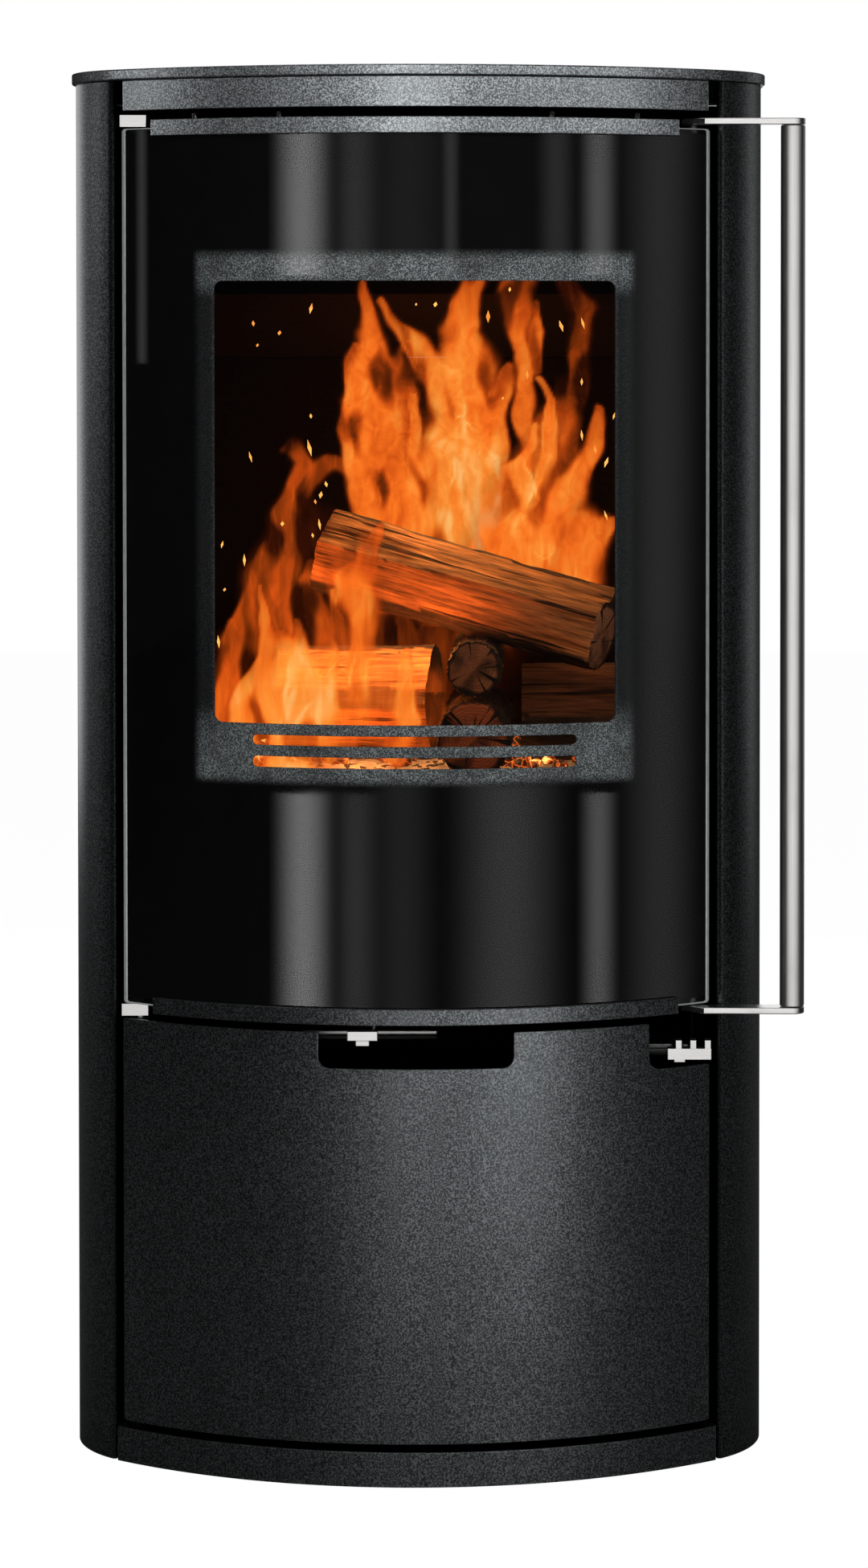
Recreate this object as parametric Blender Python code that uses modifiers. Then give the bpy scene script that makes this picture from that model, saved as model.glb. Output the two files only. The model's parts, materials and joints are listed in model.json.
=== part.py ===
"""A free-standing wood stove with a bowed front, built from its separate pieces.

Units are metres. The stove stands on z = 0, its front faces -Y, and the long
handle is at +X. The origin is on the floor under the middle of the casing.
A setback is a distance behind the foremost line of the front.
"""

import math

import bmesh
import bpy
from mathutils import Matrix, Vector

# Casing, seen from above
BODY_HALF_WIDTH = 0.2575
BODY_DEPTH = 0.428
FRONT_RADIUS = 0.384
CORNER_RADIUS = 0.088
REAR_CORNER_RADIUS = 0.020
PANEL_FACE_WIDTH = 0.0355
PANEL_SHEET = 0.0025
PANEL_RETURN = 0.018
PANEL_REAR_FOLD = 0.0325
GAP = 0.0003

# Casing, heights
BASE_SHEET = 0.003
PLINTH_HEIGHT = 0.0255
STORE_FLOOR_SHEET = 0.0022
FLOOR_RAIL_SETBACK = 0.077
CASING_TOP = 1.0214
TOP_PLATE = 0.008
TOP_PLATE_EDGE = 0.001
TOP_OVERHANG = 0.003
TOP_COVER_RADIUS = 0.125
TOP_COVER_SHEET = 0.0025
FASCIA_HEIGHT = 0.0221
FASCIA_EDGE_GAP = 0.007
BOWED_SHEET = 0.002

# Inner body
WALL_EDGE_GAP = 0.010
WALL_SHEET = 0.004
REAR_CAVITY = 0.064
FRAME_INSET = 0.045
FRAME_BOTTOM = 0.3413
FRAME_LAP = 0.001
MOUTH_LAP = 0.021
FIRE_MOUTH_DROP = 0.0814
ASH_MOUTH_BOTTOM = 0.350
ASH_MOUTH_TOP = 0.480
HEARTH_TOP = 0.504
HEARTH_SHEET = 0.008
HEARTH_REBATE = 0.004
GRATE_SIZE = 0.1194
GRATE_LEDGE = 0.010
GRATE_SETBACK = 0.184
GRATE_SLOTS = 7
GRATE_SLOT_WIDTH = 0.006
FIREBOX_TOP_DROP = 0.0514

# Vermiculite lining
BRICK = 0.030
REAR_BRICK = 0.028
REAR_BRICK_DROP = 0.155
SIDE_BRICK_GAP = 0.002
BAFFLE_SLOPE = math.radians(14.0)
BAFFLE_THICKNESS = 0.020
SMOKE_GAP = 0.013

# Ash pan and air chambers
ASH_PAN_HALF_WIDTH = 0.140
ASH_PAN_SETBACK = 0.089
ASH_PAN_LENGTH = 0.185
ASH_PAN_HEIGHT = 0.080
ASH_PAN_SHEET = 0.0015
AIR_BOX_HALF_WIDTH = 0.125
AIR_BOX_SETBACK = 0.059
AIR_BOX_LENGTH = 0.175
AIR_BOX_DEPTH = 0.027
DUCT_WIDTH = 0.0557
DUCT_WALL_GAP = 0.0023
DUCT_SETBACK = 0.092
DUCT_LENGTH = 0.102
DUCT_DEPTH = 0.045
CHAMBER_SHEET = 0.002

# Flue outlet
FLUE_CENTRE_DROP = 0.1364
FLUE_BORE_RADIUS = 0.072
FLUE_WALL = 0.003

# Glass door
DOOR_EDGE_GAP = 0.0054
GLASS_INSET = 0.002
GLASS_THICKNESS = 0.004
GLASS_BOTTOM = 0.341
GLASS_TOP_DROP = 0.0354
DOOR_PANEL_SHEET = 0.002
DOOR_PANEL_MARGIN = 0.0026
DOOR_PANEL_END_MARGIN = 0.004
WINDOW_HALF_WIDTH = 0.1465
WINDOW_BOTTOM = 0.5526
WINDOW_HEAD_MARGIN = 0.112
WINDOW_CORNER = 0.006
SLOT_HALF_LENGTH = 0.118
SLOTS_BELOW_WINDOW = ((0.0316, 0.0080), (0.0156, 0.0075))
DOOR_FRAME_HALF_WIDTH = 0.178
DOOR_FRAME_BAR = 0.018
DOOR_FRAME_FOOT_MARGIN = 0.021
DOOR_FRAME_HEAD_MARGIN = 0.018
SEAL_THICKNESS = 0.0064
SEAL_WIDTH = 0.012
RAIL_END_GAP = 0.0246
RAIL_PROUD = 0.002
RAIL_HEIGHT = 0.012
TOP_RAIL_LAP = 0.006
BOTTOM_RAIL_LAP = 0.007
SCREW_XS = (-0.160, -0.097, 0.100, 0.162)
SCREW_RADIUS = 0.002
SCREW_HEIGHT = 0.004

# Hinges, on one vertical line at the left edge of each door
PIVOT_INSET = 0.0126
PIVOT_DEPTH = 0.0133
STORE_PIVOT_DEPTH = 0.0098
PIN_RADIUS = 0.003
PIN_LENGTH = 0.009
PIN_CLEARANCE = 0.0003
PIN_END_CLEARANCE = 0.0012
HINGE_BLOCK_EDGE_GAP = 0.0045
HINGE_BLOCK_WIDTH = 0.0195
HINGE_BLOCK_LEAD = 0.0043
HINGE_BLOCK_HEIGHT = 0.0087
HINGE_BLOCK_LIFT = 0.0013
EYE_WIDTH = 0.014
EYE_DEPTH = 0.013
EYE_HEIGHT = 0.0097

# Long handle and its latch
SHAFT_DEPTH = 0.01707
HANDLE_STANDOFF = 0.0195
HANDLE_REACH = 0.017
HANDLE_RADIUS = 0.009
HANDLE_ARM_HEIGHT = 0.0047
HANDLE_ARM_LIFT = 0.0028
HANDLE_ARM_DROP = 0.0013
HANDLE_ARM_HALF_DEPTH = 0.007
SHAFT_RADIUS = 0.004
BEARING_WIDTH = 0.013
BEARING_WALL = 0.004
BEARING_HEIGHT = 0.014
BEARING_MARGIN = 0.003
LATCH_MARGINS = (0.109, 0.106)
LATCH_NOSE_HEIGHT = 0.012
LATCH_NOSE_REACH = 0.0135
LATCH_NOSE_DEPTH = 0.019
KEEPER_CLEARANCE = 0.0005
KEEPER_WIDTH = 0.008
KEEPER_DEPTH = 0.0077
KEEPER_HEIGHT = 0.024

# Lower door
STORE_DOOR_SHEET = 0.0025
STORE_DOOR_LIFT = 0.0058
STORE_DOOR_HEAD_GAP = 0.0107
STORE_LINER_SHEET = 0.0015
STORE_LINER_HALF_WIDTH = 0.165
STORE_LINER_MARGIN = 0.0137
CENTRE_NOTCH_LEFT = -0.0694
CENTRE_NOTCH_WIDTH = 0.1417
CENTRE_NOTCH_DEPTH = 0.026
RIGHT_NOTCH_WIDTH = 0.045
RIGHT_NOTCH_DEPTH = 0.034
NOTCH_CORNER = 0.008
STORE_EYE_HEIGHT = 0.012
STORE_PIN_FLANGE = 0.007

# Levers
AIR_GRIP_LEFT = -0.048
AIR_GRIP_SIZE = (0.022, 0.009, 0.0066)
AIR_GRIP_PROUD = 0.005
AIR_GRIP_LIFT = 0.0023
AIR_STEM_WIDTH = 0.010
AIR_STEM_SHEET = 0.005
AIR_STEM_SETBACK = 0.114
AIR_STEM_LAP = 0.001
AIR_DAMPER_SIZE = (0.100, 0.080)
AIR_DAMPER_OFFSET = 0.002
DAMPER_SHEET = 0.003
PRIMARY_GRIP_EDGE_GAP = 0.005
PRIMARY_GRIP_SIZE = (0.032, 0.010, 0.008)
PRIMARY_GRIP_LIFT = 0.0067
PRIMARY_GRIP_SETBACK = 0.046
PRIMARY_RIDGES = 3
PRIMARY_RIDGE_WIDTH = 0.0045
PRIMARY_RIDGE_HEIGHT = 0.006
PRIMARY_STEM_INSET = 0.005
PRIMARY_STEM_WIDTH = 0.008
PRIMARY_STEM_SHEET = 0.0055
PRIMARY_STEM_LENGTH = 0.098
PRIMARY_DAMPER_SETBACK = 0.119
PRIMARY_DAMPER_LENGTH = 0.050
PRIMARY_DAMPER_CLEARANCE = 0.001

# Split logs on the hearth
LOG_SIDES = 24
ROUND_LOG_X = 0.043
ROUND_LOG_SETBACK = 0.084
ROUND_LOG_LENGTH = 0.160
ROUND_LOG_RADIUS = 0.022
BOTTOM_LOG_SETBACK = 0.086
BOTTOM_LOG_LENGTH = 0.168
BOTTOM_LOG_RADIUS = 0.030
LOG_CLEARANCE = 0.001
LEFT_LOG_LENGTH = 0.124
LEFT_LOG_SETBACK = 0.204
LEFT_LOG_RADIUS = 0.046
RIGHT_LOG_LENGTH = 0.096
RIGHT_LOG_SETBACK = 0.184
RIGHT_LOG_RADIUS = 0.040
TOP_LOG_LEFT = -0.076
TOP_LOG_SPAN = 0.222
TOP_LOG_SETBACKS = (0.184, 0.139)
TOP_LOG_RADIUS = 0.033
TOP_LOG_TILT = math.radians(15.6)

# How finely the round parts are drawn
FRONT_STEPS = 28
CORNER_STEPS = 10
ROUND_SIDES = 32
PIN_SIDES = 16

# Values worked out from the sizes above: the casing
FRONT_Y = -BODY_DEPTH / 2
REAR_Y = BODY_DEPTH / 2
ARC_CENTRE_Y = FRONT_Y + FRONT_RADIUS
CORNER_X = BODY_HALF_WIDTH - CORNER_RADIUS
CORNER_Y = ARC_CENTRE_Y - math.sqrt((FRONT_RADIUS - CORNER_RADIUS) ** 2 - CORNER_X ** 2)
PANEL_EDGE_X = BODY_HALF_WIDTH - PANEL_FACE_WIDTH
REAR_SEAM_X = BODY_HALF_WIDTH - PANEL_REAR_FOLD
UNDER_TOP = CASING_TOP - GAP
STORE_FLOOR_TOP = PLINTH_HEIGHT
FASCIA_HALF_WIDTH = PANEL_EDGE_X - FASCIA_EDGE_GAP


def front_y(inset, x):
    """Return y of the bowed front, set back by inset, at x."""
    radius = FRONT_RADIUS - inset
    return ARC_CENTRE_Y - math.sqrt(radius ** 2 - x ** 2)


# Worked out: the inner body
WALL_X = PANEL_EDGE_X - WALL_EDGE_GAP - WALL_SHEET
REAR_WALL_Y = REAR_Y - REAR_CAVITY
FRAME_HALF_WIDTH = WALL_X + WALL_SHEET + FRAME_LAP
MOUTH_HALF_WIDTH = DOOR_FRAME_HALF_WIDTH - MOUTH_LAP
SHELF_INSET = FRAME_INSET + WALL_SHEET + GAP
ASH_SHELF_TOP = FRAME_BOTTOM + WALL_SHEET
UNDER_SHELF = FRAME_BOTTOM - GAP
REAR_BRICK_FRONT_Y = REAR_WALL_Y - GAP - REAR_BRICK
FIRE_MOUTH_TOP = CASING_TOP - FIRE_MOUTH_DROP
FIREBOX_TOP = CASING_TOP - FIREBOX_TOP_DROP
REAR_BRICK_TOP = FIREBOX_TOP - REAR_BRICK_DROP
FLUE_CENTRE_Z = CASING_TOP - FLUE_CENTRE_DROP

# Worked out: the doors
DOOR_HALF_WIDTH = PANEL_EDGE_X - DOOR_EDGE_GAP
GLASS_TOP = CASING_TOP - GLASS_TOP_DROP
WINDOW_TOP = GLASS_TOP - WINDOW_HEAD_MARGIN
PANEL_INSET = GLASS_INSET + GLASS_THICKNESS + GAP
DOOR_FRAME_FRONT = PANEL_INSET + DOOR_PANEL_SHEET + GAP
SEAL_BACK = FRAME_INSET - GAP
SEAL_FRONT = SEAL_BACK - SEAL_THICKNESS
DOOR_FRAME_BACK = SEAL_FRONT - GAP
DOOR_FRAME_BOTTOM = GLASS_BOTTOM + DOOR_FRAME_FOOT_MARGIN
DOOR_FRAME_TOP = GLASS_TOP - DOOR_FRAME_HEAD_MARGIN
RAIL_HALF_WIDTH = DOOR_HALF_WIDTH - RAIL_END_GAP
STORE_DOOR_BOTTOM = STORE_FLOOR_TOP + STORE_DOOR_LIFT
STORE_DOOR_TOP = GLASS_BOTTOM - STORE_DOOR_HEAD_GAP

# Worked out: hinges, handle and latch
PIVOT_X = DOOR_HALF_WIDTH - PIVOT_INSET
PIVOT_Y = front_y(PIVOT_DEPTH, PIVOT_X)
STORE_PIVOT_Y = front_y(STORE_PIVOT_DEPTH, PIVOT_X)
SHAFT_Y = front_y(SHAFT_DEPTH, PIVOT_X)
HINGE_BLOCK_LEFT = HINGE_BLOCK_EDGE_GAP - PANEL_EDGE_X
HINGE_BLOCK_RIGHT = HINGE_BLOCK_LEFT + HINGE_BLOCK_WIDTH
HINGE_BLOCK_FRONT_Y = STORE_PIVOT_Y - HINGE_BLOCK_LEAD
HANDLE_X = BODY_HALF_WIDTH + HANDLE_STANDOFF
HANDLE_Y = SHAFT_Y - HANDLE_REACH
UPPER_ARM_LOW = GLASS_TOP + HANDLE_ARM_LIFT
LOWER_ARM_HIGH = GLASS_BOTTOM - HANDLE_ARM_DROP
KEEPER_RIGHT = PIVOT_X - LATCH_NOSE_REACH - KEEPER_CLEARANCE
KEEPER_LEFT = KEEPER_RIGHT - KEEPER_WIDTH
LATCH_HEIGHTS = (GLASS_BOTTOM + LATCH_MARGINS[0], GLASS_TOP - LATCH_MARGINS[1])

parts = None
cutters = None


def front_arc(inset, start_x, end_x, steps=FRONT_STEPS):
    """Return points along the bowed front, set back by inset, from start_x to end_x."""
    radius = FRONT_RADIUS - inset
    first = math.asin(start_x / radius)
    last = math.asin(end_x / radius)
    points = []
    for step in range(steps + 1):
        angle = first + (last - first) * step / steps
        points.append((radius * math.sin(angle), ARC_CENTRE_Y - radius * math.cos(angle)))
    return points


def bowed_outline(outer_inset, inner_inset, left_x, right_x):
    """Return the outline of a bowed sheet that follows the front."""
    outer = front_arc(outer_inset, left_x, right_x)
    inner = front_arc(inner_inset, left_x, right_x)
    return outer + inner[::-1]


def shelf_outline(inset, half_width, rear_y):
    """Return the outline of a level plate with a bowed front edge."""
    return front_arc(inset, -half_width, half_width) + [(half_width, rear_y), (-half_width, rear_y)]


def arc(centre, radius, start, end, steps):
    """Return points on an arc, its angles in radians from +X."""
    points = []
    for step in range(steps + 1):
        angle = start + (end - start) * step / steps
        points.append((centre[0] + radius * math.cos(angle), centre[1] + radius * math.sin(angle)))
    return points


def casing_path(inset, from_x, to_x):
    """Return the right-hand casing line from from_x at the front to to_x at the rear."""
    radius = CORNER_RADIUS - inset
    start = -math.acos((from_x - CORNER_X) / radius)
    points = arc((CORNER_X, CORNER_Y), radius, start, 0.0, CORNER_STEPS)
    rear_radius = REAR_CORNER_RADIUS - inset
    rear_centre = (BODY_HALF_WIDTH - REAR_CORNER_RADIUS, REAR_Y - REAR_CORNER_RADIUS)
    points += arc(rear_centre, rear_radius, 0.0, math.pi / 2, CORNER_STEPS // 2)
    return points + [(to_x, REAR_Y - inset)]


def plate_outline(overhang):
    """Return the full outline of the casing, grown by overhang."""
    tangent = math.asin(CORNER_X / (FRONT_RADIUS - CORNER_RADIUS))
    tangent_x = (FRONT_RADIUS + overhang) * math.sin(tangent)
    right = arc((CORNER_X, CORNER_Y), CORNER_RADIUS + overhang, tangent - math.pi / 2, 0.0, CORNER_STEPS)
    rear_centre = (BODY_HALF_WIDTH - REAR_CORNER_RADIUS, REAR_Y - REAR_CORNER_RADIUS)
    right += arc(rear_centre, REAR_CORNER_RADIUS + overhang, 0.0, math.pi / 2, CORNER_STEPS // 2)
    left = [(-x, y) for x, y in reversed(right)]
    return front_arc(-overhang, -tangent_x, tangent_x)[1:-1] + right + left


def material(name, colour, roughness, metallic):
    """Return a plain surface of the part's colour."""
    surface = bpy.data.materials.new(name)
    surface.use_nodes = True
    shader = surface.node_tree.nodes["Principled BSDF"]
    shader.inputs["Base Color"].default_value = (*colour, 1.0)
    shader.inputs["Roughness"].default_value = roughness
    shader.inputs["Metallic"].default_value = metallic
    surface.diffuse_color = (*colour, 1.0)
    return surface


def add_object(name, mesh, surface=None):
    """Put a mesh in the scene as a part, or as a cutter when it has no surface."""
    item = bpy.data.objects.new(name, mesh)
    if surface is None:
        cutters.objects.link(item)
        item.hide_render = True
        item.display_type = "WIRE"
    else:
        parts.objects.link(item)
        mesh.materials.clear()
        mesh.materials.append(surface)
    return item


def box(name, low, high, surface=None):
    """Return a block between two corners."""
    mesh = bpy.data.meshes.new(name)
    work = bmesh.new()
    bmesh.ops.create_cube(work, size=1.0)
    size = [high[axis] - low[axis] for axis in range(3)]
    bmesh.ops.scale(work, vec=size, verts=work.verts)
    work.to_mesh(mesh)
    work.free()
    item = add_object(name, mesh, surface)
    item.location = [(high[axis] + low[axis]) / 2 for axis in range(3)]
    return item


def rod(name, start, end, radius, surface=None, sides=ROUND_SIDES):
    """Return a round rod between two points."""
    start = Vector(start)
    end = Vector(end)
    mesh = bpy.data.meshes.new(name)
    work = bmesh.new()
    bmesh.ops.create_cone(
        work, cap_ends=True, segments=sides, radius1=radius, radius2=radius, depth=(end - start).length
    )
    work.to_mesh(mesh)
    work.free()
    mesh.shade_smooth()
    mesh.set_sharp_from_angle(angle=math.radians(40))
    item = add_object(name, mesh, surface)
    item.location = (start + end) / 2
    item.rotation_euler = (end - start).to_track_quat("Z", "Y").to_euler()
    return item


def upright(name, x, y, low, high, radius, surface=None, sides=PIN_SIDES):
    """Return a round pin that stands at x, y."""
    return rod(name, (x, y, low), (x, y, high), radius, surface, sides)


def outline_place(plane, middle):
    """Return where a flat outline's curve goes, for its plane and the middle of its thickness."""
    if plane == "XY":
        return Matrix.Translation((0, 0, middle))
    if plane == "XZ":
        return Matrix.Translation((0, middle, 0)) @ Matrix.Rotation(math.pi / 2, 4, "X")
    turn = Matrix(((0, 0, 1, 0), (1, 0, 0, 0), (0, 1, 0, 0), (0, 0, 0, 1)))
    return Matrix.Translation((middle, 0, 0)) @ turn


def sheet(name, outline, low, high, surface=None, plane="XY"):
    """Return a flat outline given a thickness from low to high.

    The outline lies in the named plane: XY rises along Z, XZ runs along Y and
    YZ runs along X.
    """
    curve = bpy.data.curves.new(name, "CURVE")
    curve.dimensions = "2D"
    curve.fill_mode = "BOTH"
    curve.extrude = (high - low) / 2
    spline = curve.splines.new("POLY")
    spline.points.add(len(outline) - 1)
    for point, (across, along) in zip(spline.points, outline):
        point.co = (across, along, 0.0, 1.0)
    spline.use_cyclic_u = True
    holder = bpy.data.objects.new(name + "_outline", curve)
    cutters.objects.link(holder)
    holder.matrix_world = outline_place(plane, (low + high) / 2)
    bpy.context.view_layer.update()
    mesh = bpy.data.meshes.new_from_object(holder.evaluated_get(bpy.context.evaluated_depsgraph_get()))
    mesh.name = name
    work = bmesh.new()
    work.from_mesh(mesh)
    bmesh.ops.remove_doubles(work, verts=work.verts, dist=0.00002)
    bmesh.ops.recalc_face_normals(work, faces=work.faces)
    work.to_mesh(mesh)
    work.free()
    mesh.shade_smooth()
    mesh.set_sharp_from_angle(angle=math.radians(30))
    item = add_object(name, mesh, surface)
    item.matrix_world = holder.matrix_world
    bpy.data.objects.remove(holder)
    return item


def boolean(item, tool, operation):
    """Cut a tool from a piece, or join it on."""
    modifier = item.modifiers.new(operation.lower(), "BOOLEAN")
    modifier.operation = operation
    modifier.solver = "EXACT"
    modifier.object = tool


def cut(item, *tools):
    """Cut each tool from a piece."""
    for tool in tools:
        boolean(item, tool, "DIFFERENCE")


def join(item, *tools):
    """Join each tool onto a piece, as one solid."""
    for tool in tools:
        boolean(item, tool, "UNION")


def round_window(name, left, right, low, high, corner):
    """Return a cutter with rounded corners that runs through the front along Y."""
    outline = []
    corners = (
        (right - corner, low + corner, -90), (right - corner, high - corner, 0),
        (left + corner, high - corner, 90), (left + corner, low + corner, 180),
    )
    for x, z, degrees in corners:
        outline += arc((x, z), corner, math.radians(degrees), math.radians(degrees + 90), 5)
    return sheet(name, outline, FRONT_Y * 2, 0, plane="XZ")


def pivot(name, x, y, z):
    """Return an empty on a joint's vertical axis."""
    empty = bpy.data.objects.new(name, None)
    empty.empty_display_size = 0.05
    empty.location = (x, y, z)
    parts.objects.link(empty)
    return empty


def hang(parent, *items):
    """Parent pieces to an empty and leave them where they are."""
    bpy.context.view_layer.update()
    for item in items:
        place = item.matrix_world.copy()
        item.parent = parent
        item.matrix_parent_inverse = parent.matrix_world.inverted()
        item.matrix_world = place


def build_casing(paint, steel):
    """Build the outer casing, from the base plate to the top cover."""
    half = PANEL_EDGE_X - GAP
    inset = BOWED_SHEET + GAP
    sheet("base_plate", shelf_outline(inset, half, REAR_Y - PANEL_SHEET - GAP), 0, BASE_SHEET, paint)
    sheet("plinth_front", bowed_outline(0, BOWED_SHEET, -half, half), 0, PLINTH_HEIGHT, paint)
    floor_low = STORE_FLOOR_TOP - STORE_FLOOR_SHEET
    floor_outline = shelf_outline(inset, half, REAR_WALL_Y + WALL_SHEET)
    floor = sheet("store_floor", floor_outline, floor_low, STORE_FLOOR_TOP, paint)
    rail_high = STORE_FLOOR_TOP - STORE_FLOOR_SHEET / 2
    for left in (-WALL_X - WALL_SHEET, WALL_X):
        low = (left, FRONT_Y + FLOOR_RAIL_SETBACK, BASE_SHEET + GAP)
        join(floor, box("floor_rail", low, (left + WALL_SHEET, REAR_WALL_Y, rail_high)))
    build_side_panels(paint)
    rear_half = REAR_SEAM_X - GAP
    rear = box("rear_panel", (-rear_half, REAR_Y - PANEL_SHEET, GAP), (rear_half, REAR_Y, UNDER_TOP), paint)
    cut(rear, flue_cutter("rear_panel_hole", FLUE_BORE_RADIUS + FLUE_WALL + GAP))
    top = sheet("top_plate", plate_outline(TOP_OVERHANG), CASING_TOP, CASING_TOP + TOP_PLATE, paint)
    edge = top.modifiers.new("edge", "BEVEL")
    edge.width = TOP_PLATE_EDGE
    edge.segments = 1
    edge.limit_method = "ANGLE"
    edge.angle_limit = math.radians(60)
    cover_low = CASING_TOP + TOP_PLATE + GAP
    cover_high = cover_low + TOP_COVER_SHEET
    upright("top_cover", 0, 0, cover_low, cover_high, TOP_COVER_RADIUS, paint, ROUND_SIDES * 2)
    fascia = bowed_outline(0, BOWED_SHEET, -FASCIA_HALF_WIDTH, FASCIA_HALF_WIDTH)
    sheet("fascia", fascia, UNDER_TOP - FASCIA_HEIGHT, UNDER_TOP, paint)
    outline = arc((0, FLUE_CENTRE_Z), FLUE_BORE_RADIUS + FLUE_WALL, 0, 2 * math.pi, ROUND_SIDES)[:-1]
    collar = sheet("flue_collar", outline, REAR_WALL_Y + WALL_SHEET + GAP, REAR_Y, steel, "XZ")
    cut(collar, flue_cutter("flue_bore", FLUE_BORE_RADIUS))


def flue_cutter(name, radius):
    """Return a round cutter along the flue, from inside the firebox to behind the stove."""
    return rod(name, (0, 0, FLUE_CENTRE_Z), (0, REAR_Y * 2, FLUE_CENTRE_Z), radius)


def build_side_panels(paint):
    """Build the two wrapped side panels, each with a folded front edge."""
    outer = casing_path(0, PANEL_EDGE_X, REAR_SEAM_X)
    inner = casing_path(PANEL_SHEET, PANEL_EDGE_X + PANEL_SHEET, REAR_SEAM_X)
    edge_y = outer[0][1]
    fold = [(PANEL_EDGE_X + PANEL_SHEET, edge_y + PANEL_RETURN), (PANEL_EDGE_X, edge_y + PANEL_RETURN)]
    right = outer + inner[::-1] + fold
    left = [(-x, y) for x, y in reversed(right)]
    sheet("right_side_panel", right, GAP, UNDER_TOP, paint)
    sheet("left_side_panel", left, GAP, UNDER_TOP, paint)


def build_inner_body(steel, iron):
    """Build the welded inner body and the bowed frame round the mouths."""
    outline = bowed_outline(FRAME_INSET, FRAME_INSET + WALL_SHEET, -FRAME_HALF_WIDTH, FRAME_HALF_WIDTH)
    frame = sheet("front_frame", outline, FRAME_BOTTOM, UNDER_TOP, steel)
    mouth = MOUTH_HALF_WIDTH
    cut(
        frame,
        box("fire_mouth", (-mouth, FRONT_Y, HEARTH_TOP), (mouth, 0, FIRE_MOUTH_TOP)),
        box("ash_mouth", (-mouth, FRONT_Y, ASH_MOUTH_BOTTOM), (mouth, 0, ASH_MOUTH_TOP)),
    )
    wall_front = front_y(FRAME_INSET + WALL_SHEET, WALL_X + WALL_SHEET) + GAP
    low = STORE_FLOOR_TOP + GAP
    far = WALL_X + WALL_SHEET
    box("left_wall", (-far, wall_front, low), (-WALL_X, REAR_WALL_Y - GAP, UNDER_TOP), steel)
    box("right_wall", (WALL_X, wall_front, low), (far, REAR_WALL_Y - GAP, UNDER_TOP), steel)
    rear = box("rear_wall", (-far, REAR_WALL_Y, low), (far, REAR_WALL_Y + WALL_SHEET, UNDER_TOP), steel)
    cut(rear, flue_cutter("rear_wall_hole", FLUE_BORE_RADIUS))
    plate = shelf_outline(SHELF_INSET, WALL_X - GAP, REAR_WALL_Y - GAP)
    sheet("ash_shelf", plate, FRAME_BOTTOM, ASH_SHELF_TOP, steel)
    sheet("firebox_top", plate, FIREBOX_TOP - WALL_SHEET, FIREBOX_TOP, steel)
    build_grate(sheet("hearth_plate", plate, HEARTH_TOP - HEARTH_SHEET, HEARTH_TOP, steel), iron)


def build_grate(hearth, iron):
    """Build the slotted grate and the stepped hole that it lies in."""
    rebate = GRATE_SIZE / 2 + GAP
    through = rebate - GRATE_LEDGE
    step = HEARTH_TOP - HEARTH_REBATE
    above = HEARTH_TOP + HEARTH_SHEET
    y = FRONT_Y + GRATE_SETBACK
    cut(
        hearth,
        box("grate_rebate", (-rebate, y - rebate, step), (rebate, y + rebate, above)),
        box("grate_hole", (-through, y - through, step - HEARTH_SHEET), (through, y + through, above)),
    )
    half = GRATE_SIZE / 2
    grate = box("grate", (-half, y - half, step + GAP), (half, y + half, HEARTH_TOP), iron)
    pitch = 2 * through / GRATE_SLOTS
    slot_half = through - GRATE_SLOT_WIDTH
    for slot in range(GRATE_SLOTS):
        left = pitch * (slot + 0.5) - through - GRATE_SLOT_WIDTH / 2
        low = (left, y - slot_half, step - HEARTH_REBATE)
        cut(grate, box("grate_slot", low, (left + GRATE_SLOT_WIDTH, y + slot_half, above)))


def build_lining(brick):
    """Build the vermiculite bricks and the sloping baffle that rests on them."""
    low = HEARTH_TOP + GAP
    outer = WALL_X - GAP
    inner = outer - BRICK
    front = front_y(SHELF_INSET, outer) + SIDE_BRICK_GAP - GAP
    rear = REAR_BRICK_FRONT_Y - GAP
    rise = (rear - front) * math.tan(BAFFLE_SLOPE)
    profile = [(front, low), (rear, low), (rear, REAR_BRICK_TOP), (front, REAR_BRICK_TOP + rise)]
    sheet("right_brick", profile, inner, outer, brick, "YZ")
    sheet("left_brick", profile, -outer, -inner, brick, "YZ")
    box("rear_brick", (-outer, REAR_BRICK_FRONT_Y, low), (outer, REAR_WALL_Y - GAP, REAR_BRICK_TOP), brick)
    along = Vector((0, -math.cos(BAFFLE_SLOPE), math.sin(BAFFLE_SLOPE)))
    up = Vector((0, math.sin(BAFFLE_SLOPE), math.cos(BAFFLE_SLOPE)))
    heel = Vector((0, rear, REAR_BRICK_TOP)) + up * GAP
    toe = heel + along * ((rear - front - SMOKE_GAP) / math.cos(BAFFLE_SLOPE))
    corners = [heel, toe, toe + up * BAFFLE_THICKNESS, heel + up * BAFFLE_THICKNESS]
    sheet("baffle", [(corner.y, corner.z) for corner in corners], -outer, outer, brick, "YZ")


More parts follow.
